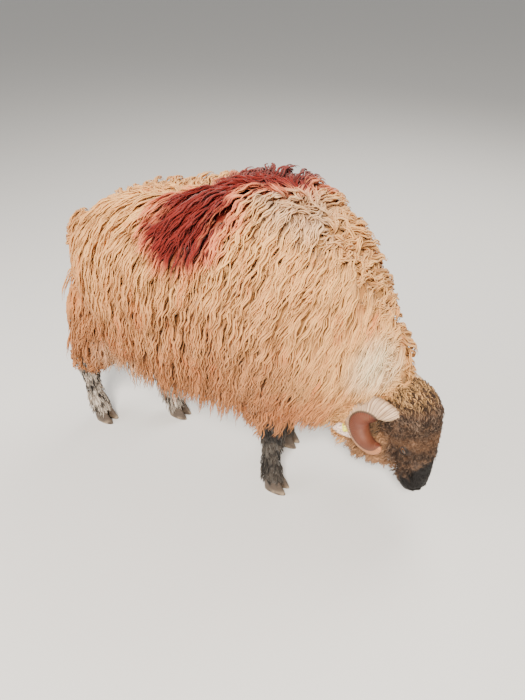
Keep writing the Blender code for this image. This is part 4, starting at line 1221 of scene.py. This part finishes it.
# %% [markdown]
# A hoof is two claws side by side, each blunt at the toe, flat where they face each other, and ringed
# by growth lines. A soft bulb joins them at the heel, and two small dewclaws sit higher up behind.

# %% Hooves
HOOF_HEIGHT = 0.045
HOOF_LENGTH = 0.068
HOOF_WIDTH = 0.052
CLAW_GAP = 0.004
# Height, half length and half width as shares of the hoof's length and half of its width.
CLAW_ROWS = ((0.0, 0.50, 0.485), (0.012, 0.47, 0.475), (0.028, 0.41, 0.45), (0.0446, 0.34, 0.41))
GROWTH_LINES = 0.0042


def claw_rings(toe_x, y, side):
    """Rings of one claw, from its sole up to the hair."""
    rings = []
    rows = [(0.0016, 0.30, 0.28), (0.0002, 0.46, 0.44)] + list(smooth_rows(CLAW_ROWS, 9))
    for height, deep, wide in rows:
        line = 1 + 0.010 * math.sin(2 * math.pi * height / GROWTH_LINES)
        deep *= HOOF_LENGTH
        wide = wide * HOOF_WIDTH / 2 - CLAW_GAP / 4
        lean = 0.012 * (1 - height / HOOF_HEIGHT)
        middle = Vector((toe_x + lean, y + side * (HOOF_WIDTH / 4 + CLAW_GAP / 4), height)) + STAND
        ring = []
        for point in oval_ring(middle, (0, 1, 0), (1, 0, 0), wide, deep * 0.985, 40, 2.4):
            toe = max((point.x - middle.x) / deep, 0.0)
            inner = max(-(point.y - middle.y) * side / wide, 0.0)
            point.y = middle.y + (point.y - middle.y) * (1 - 0.25 * toe**2) * (1 - 0.08 * inner) * line
            ring.append(point)
        rings.append(ring)
    return rings


def ball_rings(centre, sizes, rows=12, sides=20):
    """Rings of a flattened ball."""
    rings = []
    for row in range(1, rows):
        tilt = math.pi * row / rows
        spot = Vector(centre) + Vector((0, 0, sizes[2] * math.cos(tilt)))
        wide = math.sin(tilt)
        rings.append(oval_ring(spot, (0, 1, 0), (1, 0, 0), sizes[1] * wide, sizes[0] * wide, sides))
    return rings


def hoof_material():
    """Dark horn with lines round it, dusty towards the sole."""
    shader = Shader("hoof")
    lines = shader.noise(1.0, 3.0, stretch=(20.0, 20.0, 620.0))
    cloud = shader.noise(50.0, 3.0)
    base = shader.mix(lines, paint(40, 32, 27), paint(96, 80, 66))
    dust = shader.times(shader.ramp(shader.part(2), 0.022, 0.002), shader.ramp(cloud, 0.4, 0.7))
    base = shader.mix(dust, base, paint(150, 130, 106))
    shader.bump(lines, 0.5, 0.0008)
    return shader.finish(base, shader.ramp(cloud, 0.3, 0.7, 0.42, 0.62))


hoof_look = hoof_material()
for name, rows in LEGS.items():
    toe_x, y = rows[-1][:2]
    claws = [closed(claw_rings(toe_x, y, side)) for side in (-1, 1)]
    bulb = Vector((toe_x - 0.010, y, 0.026)) + STAND
    claws.append(closed(ball_rings(bulb, (0.017, 0.0125, 0.018))))
    for side in (-1, 1):
        dewclaw = Vector((toe_x - 0.031, y + side * 0.013, 0.072)) + STAND
        claws.append(closed(ball_rings(dewclaw, (0.007, 0.0065, 0.011), 8, 14)))
    hang(array_object("claws_" + name, *stacked(*claws), hoof_look), "hoof", "hoof_" + name)

# %% [markdown]
# Wool mustn't grow through a horn, hang before an ear or cover an eye. Room is kept for them as balls:
# small ones in a row along each horn, ear and eye, and larger ones in front of them, on the side from
# which a person would look. A strand of the coat is later cut off before it meets a ball. Near the
# neck the horns' balls are small, so that the fleece may lie over them a little.

# %% Room that the coat leaves free
def free_room():
    """Centres, in the head's directions, and radii of all balls."""
    centres, radii = [], []
    for side in (-1, 1):
        for share in np.linspace(0.13, 1.0, 40):
            centre, _, radius = horn_middle(share, side)
            under_wool = share < 0.5 if side > 0 else 0.27 < share < 0.50
            centres.append(centre)
            radii.append(radius * 0.55 if under_wool else radius + 0.0012)
        ahead, up = HORN_CENTRES[side]
        centres.append(Vector((ahead, side * 0.165, up)))
        radii.append(0.080)
        root, along, across, back = ear_axes(side)
        for share in (0.30, 0.45, 0.60, 0.75, 0.90):
            spot = root + along * (EAR_LENGTH * share)
            for aside in (-0.012, 0.0, 0.012):
                centres.append(spot + across * aside)
                radii.append(0.0125)
            if share > 0.5:
                centres += [spot + back * 0.026, spot + back * 0.055]
                radii += [0.018, 0.022]
        centre, out, _, _ = eye_axes(side)
        centres += [centre + out * 0.008, centre + out * 0.024]
        radii += [0.0135, 0.0165]
    return np.array([tuple(centre) for centre in centres]), np.array(radii)


ROOM_CENTRES, ROOM_RADII = free_room()
ROOM_REACH = 0.24


def crowded(points):
    """Whether points lie where horn, ear or eye needs room."""
    local = in_head(points)
    found = np.zeros(len(points), bool)
    near = np.flatnonzero(np.linalg.norm(local - (-0.04, 0.0, -0.13), axis=1) < ROOM_REACH)
    for part in np.array_split(near, max(len(near) // 20000, 1)):
        gap = np.linalg.norm(local[part][:, None] - ROOM_CENTRES, axis=2) - ROOM_RADII
        found[part] = gap.min(axis=1) < 0
    return found


print("room kept by", len(ROOM_RADII), "balls")

# %% [markdown]
# The coat is grown in three steps. First, roots: random places are drawn all over the skin, and only
# one is kept in each small cell of space, so that they stand at nearly even distances. Then, locks:
# from each root a guide line walks over the skin along the lie of the wool, a set height above it, and
# hangs free where the body falls away below. Last, strands: each guide carries a few of them, which
# start side by side and draw together towards the tip, wavy or curly, each a thin closed solid.

# %% Roots on the skin
def surface_places(points, faces, mask, spacing, random):
    """Evenly scattered places on the faces in the mask, with their outward directions."""
    chosen = faces[mask]
    a, b, c, d = (points[chosen[:, corner]] for corner in range(4))
    normal = np.cross(c - a, d - b)
    size = np.linalg.norm(normal, axis=1)
    count = int(size.sum() / 2 / spacing**2 * 5)
    pick = random.choice(len(chosen), count, p=size / size.sum())
    u, v = random.random((2, count, 1))
    places = (a[pick] * (1 - u) + b[pick] * u) * (1 - v) + (d[pick] * (1 - u) + c[pick] * u) * v
    cells = np.floor(places / spacing).astype(int)
    _, first = np.unique(cells, axis=0, return_index=True)
    first = random.permutation(first)
    outward = normal[pick[first]] / size[pick[first], None]
    return places[first], outward


def nearest(points):
    """The nearest places on the skin, and the outward directions there."""
    found = [coat_tree.find_nearest(point)[:2] for point in points.tolist()]
    return np.array([place for place, _ in found]), np.array([normal for _, normal in found])


def unit(vectors):
    """Vectors of length 1."""
    return vectors / np.maximum(np.linalg.norm(vectors, axis=-1, keepdims=True), 1e-9)


# %% [markdown]
# The lie is a direction at each point. Wool falls from the parting to both sides, and turns back on the
# neck. It doesn't need to lie on the skin, because the walk over the skin takes care of that.

# %% The lie of the wool
PARTING = smooth_rows([(top_x, left) for top_x, _, _, _, _, left in TRUNK], 4)
print("the parting runs from", PARTING[0].round(3), "to", PARTING[-1].round(3))


def ram_place(points):
    """Points in the ram's own directions: forwards, left and up, with the origin between its feet."""
    return points - np.array(STAND)


def fleece_lie(points, normals, chance):
    """Down and away from the parting, and back a little on the neck and shoulder."""
    own = ram_place(points)
    middle = np.interp(own[:, 0], PARTING[:, 0], PARTING[:, 1]) + chance * 0.016
    side = np.tanh((own[:, 1] - middle) / 0.012) * np.clip(normals[:, 2] * 2.0, 0.0, 1.0)
    back = np.interp(own[:, 0], (-0.60, -0.42, -0.10, 0.05, 0.16), (-0.45, -0.15, -0.12, -0.28, -0.48))
    return np.stack([back, 0.95 * side, np.full(len(own), -1.0)], axis=1)


def down_lie(points, normals, chance):
    """Straight down, and a little outwards."""
    return normals * 0.3 + np.array([0.0, 0.0, -1.0])


# %% [markdown]
# The work is done for all guides at once, step by step, with arrays. A look says how long and deep the
# locks are, how many strands they have and how far these swing: wave is sideways, curl is outwards.

# %% Guides and strands
# How far down its guide a strand may start.
STAGGER = 0.22


def walk_guides(roots, normals, lie, look, random):
    """Guide lines over the skin: their points, and the sideways and outward direction at each."""
    steps = look["steps"]
    length = look["length"] * random.uniform(0.8, 1.2, len(roots))
    if "grow" in look:
        length = length * look["grow"](roots)
    layer = random.uniform(0.35, 1.0, len(roots))
    turn = random.normal(0.0, look.get("stray", 0.12), (len(roots), 1))
    chance = random.normal(0.0, 1.0, len(roots))
    point, normal = roots.copy(), normals.copy()
    line, outward = [roots - normals * look.get("sunk", 0.004)], [normals]
    for step in range(1, steps + 1):
        heading = lie(point, normal, chance)
        off_skin = np.einsum("ij,ij->i", heading, normal)[:, None]
        free = normal[:, 2:3] < look.get("free_below", -0.15)
        heading = unit(np.where(free & (off_skin > 0), heading, heading - normal * off_skin))
        heading = unit(heading + np.cross(normal, heading) * turn)
        point = point + heading * (length / steps)[:, None]
        under, fresh = nearest(point)
        height = look["depth"] * layer * (1 - math.exp(-3.2 * step / steps))
        gap = np.einsum("ij,ij->i", point - under, fresh)
        sits = ~free[:, 0] | (gap < height)
        point = np.where(sits[:, None], under + fresh * height[:, None], point)
        normal = unit(normal * 0.4 + fresh * 0.6)
        line.append(point)
        outward.append(normal)
    line = np.stack(line, axis=1)
    along = unit(np.gradient(line, axis=1))
    outward = np.stack(outward, axis=1)
    sideways = unit(np.cross(along, outward))
    return line, sideways, np.cross(sideways, along)


def between(values, places):
    """Values along guides, read at places between 0 and their last point."""
    last = values.shape[1] - 2
    whole = np.clip(np.floor(places).astype(int), 0, last)
    share = (places - whole)[..., None]
    rows = np.arange(len(values))[:, None, None]
    return values[rows, whole] * (1 - share) + values[rows, whole + 1] * share


def strand_lines(guides, look, random):
    """The middle line of every strand that isn't in the way, and the outward direction along it."""
    line, sideways, outward = guides
    count, strands, cuts = len(line), look["strands"], look["cuts"]
    start = random.uniform(0.0, STAGGER, (count, strands, 1))
    end = random.uniform(0.80, 1.0, (count, strands, 1))
    share = np.linspace(0.0, 1.0, cuts)[None, None, :]
    places = (start + (end - start) * share) * (line.shape[1] - 1)
    middle, side, out = (between(values, places) for values in (line, sideways, outward))
    across = random.uniform(-1.0, 1.0, (count, strands, 1, 1)) * look["spread"]
    lift = random.uniform(-0.4, 1.0, (count, strands, 1, 1)) * look["spread"] * 0.6
    draw = (1.0 - look.get("pinch", 0.6) * share)[..., None]
    swing = np.minimum(1.0, share * 3.0)[..., None]
    own = ram_place(line[:, 0])
    beat = 3.0 * np.sin(own[:, 0] * 21 + own[:, 2] * 9) + 3.0 * np.sin(own[:, 2] * 17 - own[:, 1] * 13)
    beat = beat[:, None, None] + random.normal(0.0, look.get("unrest", 0.7), (count, strands, 1))
    length = np.linalg.norm(np.diff(line, axis=1), axis=2).sum(1)[:, None, None]
    turns = length / look["period"] * random.uniform(0.85, 1.15, (count, strands, 1))
    angle = (beat + 2 * math.pi * turns * (start + (end - start) * share))[..., None]
    middle = middle + side * (across * draw + look["wave"] * swing * np.sin(angle))
    middle = middle + out * (lift * draw * swing + look["curl"] * swing * np.cos(angle))
    middle, out = (values.reshape(-1, cuts, 3) for values in (middle, out))
    return shortened(middle, out) if look.get("gives_way", True) else (middle, out)


def shortened(middle, out):
    """The same strands, cut off before they reach a place that needs room, or left out if too short."""
    cuts = middle.shape[1]
    blocked = crowded(middle.reshape(-1, 3)).reshape(-1, cuts)
    blocked[:, 0] = False
    last = np.where(blocked.any(axis=1), np.argmax(blocked, axis=1) - 1, cuts - 1)
    kept = last >= cuts * 0.3
    places = np.linspace(0.0, 1.0, cuts) * last[kept, None]
    return tuple(between(values[kept], places[:, None])[:, 0] for values in (middle, out))


def strand_solids(middle, out, look, random):
    """Closed three-sided solids round the middle lines: points, triangles, and what each point needs."""
    count, cuts, _ = middle.shape
    along = unit(np.gradient(middle, axis=1))
    side = unit(np.cross(along, out))
    up = np.cross(side, along)
    share = np.linspace(0.0, 1.0, cuts)
    shape = (0.55 + 0.45 * np.minimum(1.0, share * 3.0)) * (1.0 - share**2.4)
    width = look["width"] * random.uniform(0.7, 1.3, (count, 1)) * shape[None, :] / 2
    roll = random.uniform(-0.5, 0.5, (count, 1, 1))
    rings = []
    for corner in range(3):
        angle = 2 * math.pi * corner / 3 + math.pi / 2 + roll
        reach = side * np.cos(angle) + up * np.sin(angle) * look.get("flat", 0.6)
        rings.append(middle + reach * width[..., None])
    body = np.stack(rings, axis=2)[:, :-1].reshape(count, -1, 3)
    points = np.concatenate([body, middle[:, -1:]], axis=1)
    size = points.shape[1]
    faces = [(0, 2, 1)]
    for ring in range(cuts - 2):
        for corner in range(3):
            after = (corner + 1) % 3
            a, b = 3 * ring + corner, 3 * ring + after
            faces += [(a, b, b + 3), (a, b + 3, a + 3)]
    faces += [(size - 4, size - 3, size - 1), (size - 3, size - 2, size - 1), (size - 2, size - 4, size - 1)]
    faces = (np.arange(count)[:, None, None] * size + np.array(faces)[None]).reshape(-1, 3)
    tip = np.append(np.repeat(share[:-1], 3), 1.0)
    edge = np.append(np.tile([0.0, 0.5, 1.0], cuts - 1), 0.5)
    return points.reshape(-1, 3), faces, tip, edge, count, size


# %% [markdown]
# Each coat piece also carries two flat maps. The first runs along each strand and steers the fine
# fibres. The second is for whoever paints the coat into a picture later: the skin's shape is unrolled
# there like a label from a bottle, and every strand has a small square of its own at its root.

# %% Grow a piece of coat
PATCH = 0.003


def unrolled(roots, start, end):
    """The skin round an axis laid flat: along the axis one way, round it the other, from 0 to 1."""
    start, end = np.array(start), np.array(end)
    axis = unit(end - start)
    ahead = unit(np.cross(axis, [0.0, 1.0, 0.0]))
    left = np.cross(axis, ahead)
    offset = roots - start
    share = offset @ axis / np.linalg.norm(end - start)
    turn = np.arctan2(offset @ left, offset @ ahead) / (2 * math.pi) + 0.5
    return np.stack([np.clip(share, 0.0, 1.0), turn], axis=1) * 0.98 + 0.01


def grow_coat(name, roots, normals, lie, look, material, slot, axis):
    """One coat piece as a mesh object."""
    random = np.random.default_rng(sum(map(ord, name)))
    guides = walk_guides(roots, normals, lie, look, random)
    middle, out = strand_lines(guides, look, random)
    points, faces, tip, edge, count, size = strand_solids(middle, out, look, random)
    piece = array_object(name, points, faces, material)
    tint = np.repeat(random.random(count), size)
    set_number(piece.data, "tip", np.tile(tip, count))
    set_number(piece.data, "tint", tint)
    long_way = look["length"] * 100 * np.tile(tip, count)
    set_map(piece.data, "strand", np.stack([np.tile(edge, count) + tint * 40, long_way], axis=1))
    base = unrolled(np.repeat(middle[:, 0], size, axis=0), *axis)
    corner = np.stack([np.tile(edge, count) - 0.5, np.tile(tip, count) - 0.5], axis=1) * PATCH
    set_map(piece.data, "OFBake", base + corner)
    return hang(piece, slot)


BODY_SKIN = (body_points, body_faces)
HEAD_SKIN = (head_points, head_faces)


def coat_over(name, skin, zone, lie, look, material, slot, axis):
    """A coat piece on the faces of a skin in a zone."""
    roots, outward = surface_places(*skin, zone, look["spacing"], RANDOM)
    return grow_coat(name, roots, outward, lie, look, material, slot, axis)


# %% [markdown]
# The body is divided for the coat as a shearer would divide it. Faces of the skin are sorted by where
# their middle lies: close under a leg's own line they belong to that leg, on the thin tail to the
# tail, and all the rest is fleece. The fleece is cut once more into lengths and sides, only to keep
# each mesh to a handy size.

# %% Zones of the skin
body_middle = ram_place(body_points[body_faces].mean(axis=1))
leg_zone = {}
for name, rows in LEGS.items():
    rows = np.array(rows)[::-1]
    centre = np.stack([np.interp(body_middle[:, 2], rows[:, 2], rows[:, axis]) for axis in (0, 1)], axis=1)
    off = np.linalg.norm(body_middle[:, :2] - centre, axis=1)
    top = 0.335 if name.startswith("fore") else 0.430
    leg_zone[name] = (off < 0.10) & (body_middle[:, 2] < top) & (body_middle[:, 2] > 0.046)
on_leg = np.any(list(leg_zone.values()), axis=0)
on_tail = (body_middle[:, 0] < -0.625) & (body_middle[:, 2] > 0.42) & (np.abs(body_middle[:, 1]) < 0.035)
body_in_head = in_head(body_points[body_faces].mean(axis=1))
near_head = (np.abs(body_in_head[:, 1]) < 0.05) & (body_in_head[:, 2] > -0.25) & (body_in_head[:, 0] > -0.03)
on_throat = (body_in_head[:, 0] > -0.125) & (body_in_head[:, 2] < -0.115) & (body_middle[:, 0] > 0.16)
on_nape = near_head & ~on_throat
fleece_zone = ~on_leg & ~on_tail & ~on_nape & ~on_throat & (body_middle[:, 2] > 0.10)
print("fleece on", int(fleece_zone.sum()), "faces of", len(body_faces))

# %% [markdown]
# The main fleece: locks about a hand's breadth long, each of a few strands that wave in step with
# their neighbours. They are longest low on the flanks, where they hang below the belly as a fringe,
# and short underneath.

# %% The fleece
def fleece_length(roots):
    """Longer on the lower flank and the neck, short under the belly."""
    own = ram_place(roots)
    low = np.interp(own[:, 2], (0.36, 0.42, 0.50, 0.62, 0.80), (0.55, 0.95, 1.20, 1.05, 0.85))
    return low * np.interp(own[:, 0], (0.05, 0.18, 0.30), (1.0, 1.15, 0.85))


FLEECE = {
    "length": 0.150, "depth": 0.036, "steps": 9, "strands": 6, "cuts": 10, "spread": 0.0125,
    "pinch": 0.30, "wave": 0.0031, "curl": 0.0012, "period": 0.050, "width": 0.0068, "flat": 0.6,
    "unrest": 0.40, "grow": fleece_length, "sunk": 0.006, "spacing": 0.0252,
}
TRUNK_AXIS = (Vector((-0.62, 0.0, 0.60)) + STAND, Vector((0.30, 0.0, 0.60)) + STAND)
LENGTHS = {
    "rump": (-1.0, -0.42),
    "loin": (-0.42, -0.22),
    "ribs": (-0.22, -0.02),
    "shoulder": (-0.02, 0.12),
    "neck": (0.12, 1.0),
}

roots, outward = surface_places(*BODY_SKIN, fleece_zone, FLEECE["spacing"], RANDOM)
own = ram_place(roots)
middle_line = np.interp(own[:, 0], PARTING[:, 0], PARTING[:, 1])
for word, (rear, front) in LENGTHS.items():
    for side, beyond in (("right", own[:, 1] < middle_line), ("left", own[:, 1] >= middle_line)):
        mask = (own[:, 0] >= rear) & (own[:, 0] < front) & beyond
        grow_coat(
            "fleece_" + word + "_" + side, roots[mask], outward[mask], fleece_lie, FLEECE, wool_look,
            "wool", TRUNK_AXIS,
        )

# %% [markdown]
# Along the parting the long locks turn away to both sides and would leave the skin bare. Shorter,
# finer wool fills it, close set and combed backwards before it falls to one side.

# %% The parting
CREST = {
    "length": 0.078, "depth": 0.024, "steps": 6, "strands": 4, "cuts": 8, "spread": 0.0080,
    "pinch": 0.3, "wave": 0.0030, "curl": 0.0016, "period": 0.046, "width": 0.0064, "stray": 0.35,
    "sunk": 0.005, "spacing": 0.0138,
}
CREST_HALF_WIDTH = 0.030


def crest_lie(points, normals, chance):
    """Backwards along the crest, to the right or to the left by chance."""
    aside = np.tanh(chance * 1.5)
    return np.stack([np.full(len(points), -0.55), aside, np.full(len(points), -0.3)], axis=1)


away = np.abs(body_middle[:, 1] - np.interp(body_middle[:, 0], PARTING[:, 0], PARTING[:, 1]))
above = body_middle[:, 2] > np.interp(body_middle[:, 0], (0.10, 0.32), (0.62, 0.40))
on_crest = fleece_zone & (away < CREST_HALF_WIDTH) & above
coat_over("fleece_crest", BODY_SKIN, on_crest, crest_lie, CREST, wool_look, "wool", TRUNK_AXIS)

# %% [markdown]
# Below the fleece the coat changes. Small tight ringlets cover the thighs, the tail hangs in short
# locks, and the shanks have straight hair that fans out over the hooves, dark in front and badger
# grey behind. The dark hair is made darker still as painted shade, since the forelegs stand in the
# shade of the neck.

# %% Thighs, tail and shanks
THIGH = {
    "length": 0.052, "depth": 0.020, "steps": 6, "strands": 4, "cuts": 9, "spread": 0.0066,
    "pinch": 0.35, "wave": 0.0044, "curl": 0.0044, "period": 0.022, "width": 0.0070, "flat": 0.8,
    "stray": 0.35, "free_below": -0.5, "spacing": 0.0160,
}
TAIL_WOOL = {
    "length": 0.080, "depth": 0.014, "steps": 6, "strands": 4, "cuts": 10, "spread": 0.0060,
    "wave": 0.0030, "curl": 0.0022, "period": 0.030, "width": 0.0070, "spacing": 0.0150,
}
SHANK = {
    "length": 0.030, "depth": 0.0065, "steps": 4, "strands": 3, "cuts": 5, "spread": 0.0035,
    "pinch": 0.3, "wave": 0.0012, "curl": 0.0008, "period": 0.030, "width": 0.0032, "sunk": 0.002,
    "spacing": 0.0114,
}


def shank_length(roots):
    """Long on the pastern, where it hangs over the hoof, and longer up under the fleece."""
    own = ram_place(roots)
    return np.interp(own[:, 2], (0.05, 0.10, 0.15, 0.24, 0.34), (1.1, 1.7, 0.9, 0.9, 1.5))


SHANK["grow"] = shank_length
THIGH_ABOVE, SHANK_BELOW = 0.275, 0.30
for name, rows in LEGS.items():
    start = Vector(rows[0][:3]) + STAND
    end = Vector(rows[-1][:3]) + STAND
    if name.startswith("hind"):
        on_thigh = leg_zone[name] & (body_middle[:, 2] > THIGH_ABOVE)
        coat_over("curls_" + name, BODY_SKIN, on_thigh, down_lie, THIGH, wool_look, "wool", (start, end))
        hair_zone = leg_zone[name] & (body_middle[:, 2] < SHANK_BELOW)
    else:
        hair_zone = leg_zone[name]
    coat_over("hair_" + name, BODY_SKIN, hair_zone, down_lie, SHANK, shank_look, "leg_hair", (start, end))

tail_axis = (Vector(TAIL[0][:3]) + STAND, Vector(TAIL[-1][:3]) + STAND)
coat_over("tail_wool", BODY_SKIN, on_tail, down_lie, TAIL_WOOL, wool_look, "wool", tail_axis)

# %% [markdown]
# The head has several kinds of hair. Pale and dark locks tumble over the poll, dense little curls cover
# the forehead down to the eyes, tan wool of middle length fills the cheeks and throat, and the face
# and muzzle have fur so short that only small flecks of it break the outline.

# %% The coat of the head
def head_lie(forward, left, up):
    """A lie given in the head's own directions."""
    way = np.array(HEAD.to_3x3() @ Vector((forward, left, up)))

    def lie(points, normals, chance):
        """The same way everywhere, turned a little outwards on each side."""
        return np.tile(way, (len(points), 1)) + normals * 0.2
    return lie


POLL_WOOL = {
    "length": 0.048, "depth": 0.014, "steps": 6, "strands": 4, "cuts": 9, "spread": 0.0055,
    "pinch": 0.4, "wave": 0.0030, "curl": 0.0030, "period": 0.020, "width": 0.0046, "stray": 0.45,
    "spacing": 0.0095,
}
NAPE_WOOL = {**POLL_WOOL, "spacing": 0.0125}
BROW_CURLS = {
    "length": 0.021, "depth": 0.0085, "steps": 5, "strands": 3, "cuts": 7, "spread": 0.0036,
    "pinch": 0.3, "wave": 0.0024, "curl": 0.0024, "period": 0.0095, "width": 0.0027, "stray": 0.6,
    "sunk": 0.002, "free_below": -2.0, "spacing": 0.0072,
}
CHEEK_WOOL = {
    "length": 0.038, "depth": 0.012, "steps": 5, "strands": 4, "cuts": 7, "spread": 0.0050,
    "pinch": 0.4, "wave": 0.0022, "curl": 0.0018, "period": 0.020, "width": 0.0036, "stray": 0.3,
    "sunk": 0.003, "spacing": 0.0120,
}
THROAT_WOOL = {
    "length": 0.060, "depth": 0.024, "steps": 6, "strands": 5, "cuts": 8, "spread": 0.0065,
    "pinch": 0.35, "wave": 0.0024, "curl": 0.0016, "period": 0.030, "width": 0.0042, "stray": 0.3,
    "sunk": 0.003, "spacing": 0.0112,
}
FACE_FUR = {
    "length": 0.0085, "depth": 0.0016, "steps": 2, "strands": 2, "cuts": 4, "spread": 0.0012,
    "pinch": 0.2, "wave": 0.0002, "curl": 0.0, "period": 0.02, "width": 0.0010, "stray": 0.3,
    "sunk": 0.001, "free_below": -2.0, "spacing": 0.0048,
}

head_middle = in_head(head_points[head_faces].mean(axis=1))
away_from_eyes = np.ones(len(head_middle), bool)
for side in (-1, 1):
    eye_spot = np.array([EYE_PLACE.x + 0.006, side * (EYE_PLACE.y + 0.008), EYE_PLACE.z])
    away_from_eyes &= np.linalg.norm((head_middle - eye_spot) / (1.0, 1.0, 1.25), axis=1) > 0.0215
down, ahead = head_middle[:, 2], head_middle[:, 0]
on_poll = (down > -0.050) & (ahead > -0.075)
on_brow = (down <= -0.045) & (down > -0.182) & (ahead > -0.012 - (down + 0.045) * 0.10)
on_brow |= (down <= -0.170) & (down > -0.245) & (ahead > -0.004) & (ahead < 0.030)
on_brow &= away_from_eyes
on_cheek = (down <= -0.030) & (down > -0.255) & (ahead <= 0.004) & away_from_eyes & ~on_brow
on_face = (down <= -0.160) & (down > -0.305) & away_from_eyes & ~on_cheek & (~on_brow | (ahead > 0.030))
HEAD_AXIS = (HEAD @ Vector((0.0, 0.0, 0.03)), HEAD @ Vector((0.0, 0.0, -0.33)))
HEAD_COAT = (
    ("poll_wool", HEAD_SKIN, on_poll, head_lie(0.55, 0.0, -0.35), POLL_WOOL),
    ("brow_curls", HEAD_SKIN, on_brow, head_lie(0.1, 0.0, -1.0), BROW_CURLS),
    ("cheek_wool", HEAD_SKIN, on_cheek, head_lie(-0.75, 0.0, -0.55), CHEEK_WOOL),
    ("face_fur", HEAD_SKIN, on_face, head_lie(0.0, 0.0, -1.0), FACE_FUR),
    ("throat_wool", BODY_SKIN, on_throat, head_lie(-0.45, 0.0, -0.85), THROAT_WOOL),
)
for name, skin, zone, lie, look in HEAD_COAT:
    coat_over(name, skin, zone, lie, look, face_look, "face_hair", HEAD_AXIS)
coat_over("nape_wool", BODY_SKIN, on_nape, fleece_lie, NAPE_WOOL, wool_look, "wool", TRUNK_AXIS)

# %% [markdown]
# Beside a horn or an ear the long strands were cut off, and the skin would show there. Short wool that
# may grow right up to them fills these narrow places, on the neck and on the head.

# %% Short wool in narrow places
SHORT_WOOL = {
    "length": 0.032, "depth": 0.011, "steps": 5, "strands": 3, "cuts": 7, "spread": 0.0050,
    "pinch": 0.35, "wave": 0.0030, "curl": 0.0025, "period": 0.018, "width": 0.0050, "stray": 0.4,
    "sunk": 0.003, "gives_way": False, "spacing": 0.0105,
}


def hemmed_in(points, faces):
    """Which faces have too little room above them for whole locks."""
    corners = points[faces]
    normals = unit(np.cross(corners[:, 2] - corners[:, 0], corners[:, 3] - corners[:, 1]))
    middle = corners.mean(axis=1)
    return np.any([crowded(middle + normals * height) for height in (0.0, 0.015, 0.035, 0.055)], axis=0)


narrow = hemmed_in(*BODY_SKIN) & (fleece_zone | on_nape)
coat_over("short_wool_neck", BODY_SKIN, narrow, fleece_lie, SHORT_WOOL, wool_look, "wool", TRUNK_AXIS)
narrow = hemmed_in(*HEAD_SKIN) & (down > -0.22) & (ahead < 0.004) & away_from_eyes
backwards = head_lie(-0.7, 0.0, -0.5)
coat_over("short_wool_head", HEAD_SKIN, narrow, backwards, SHORT_WOOL, face_look, "face_hair", HEAD_AXIS)

# %% [markdown]
# Last, the down on the ears, which grows over the leaves instead of over the skin.

# %% Down on the ears
def ear_coat(shader, tip, tint):
    """The colour of the down on the ears: white with a few dark hairs."""
    dark = shader.ramp(tint, 0.80, 0.90)
    return shader.mix(dark, shader.mix(tint, paint(248, 226, 206), paint(232, 202, 178)), paint(92, 70, 58))


down_look = coat_material("ear_down", ear_coat, 0.8, 0.2)
# The first part of the ear has no down, because the head's wool covers it.
BARE_LENGTH = 0.02
EAR_DOWN = {
    "length": 0.011, "depth": 0.0022, "steps": 3, "strands": 2, "cuts": 4, "spread": 0.0015,
    "pinch": 0.2, "wave": 0.0003, "curl": 0.0, "period": 0.02, "width": 0.0010, "stray": 0.3,
    "sunk": 0.001, "free_below": -2.0, "gives_way": False, "spacing": 0.0040,
}
for side, word in SIDES:
    points, quads = ear_shapes[side]
    coat_tree = BVHTree.FromPolygons(points.tolist(), quads.tolist())
    root, along, across, back = ear_axes(side)
    roots, outward = surface_places(points, quads, np.ones(len(quads), bool), EAR_DOWN["spacing"], RANDOM)
    beyond = (in_head(roots) - np.array(root)) @ np.array(along) > BARE_LENGTH
    grow_coat(
        "down_" + word, roots[beyond], outward[beyond], head_lie(*along), EAR_DOWN, down_look,
        "ear_skin", (HEAD @ root, HEAD @ (root + along * EAR_LENGTH)),
    )
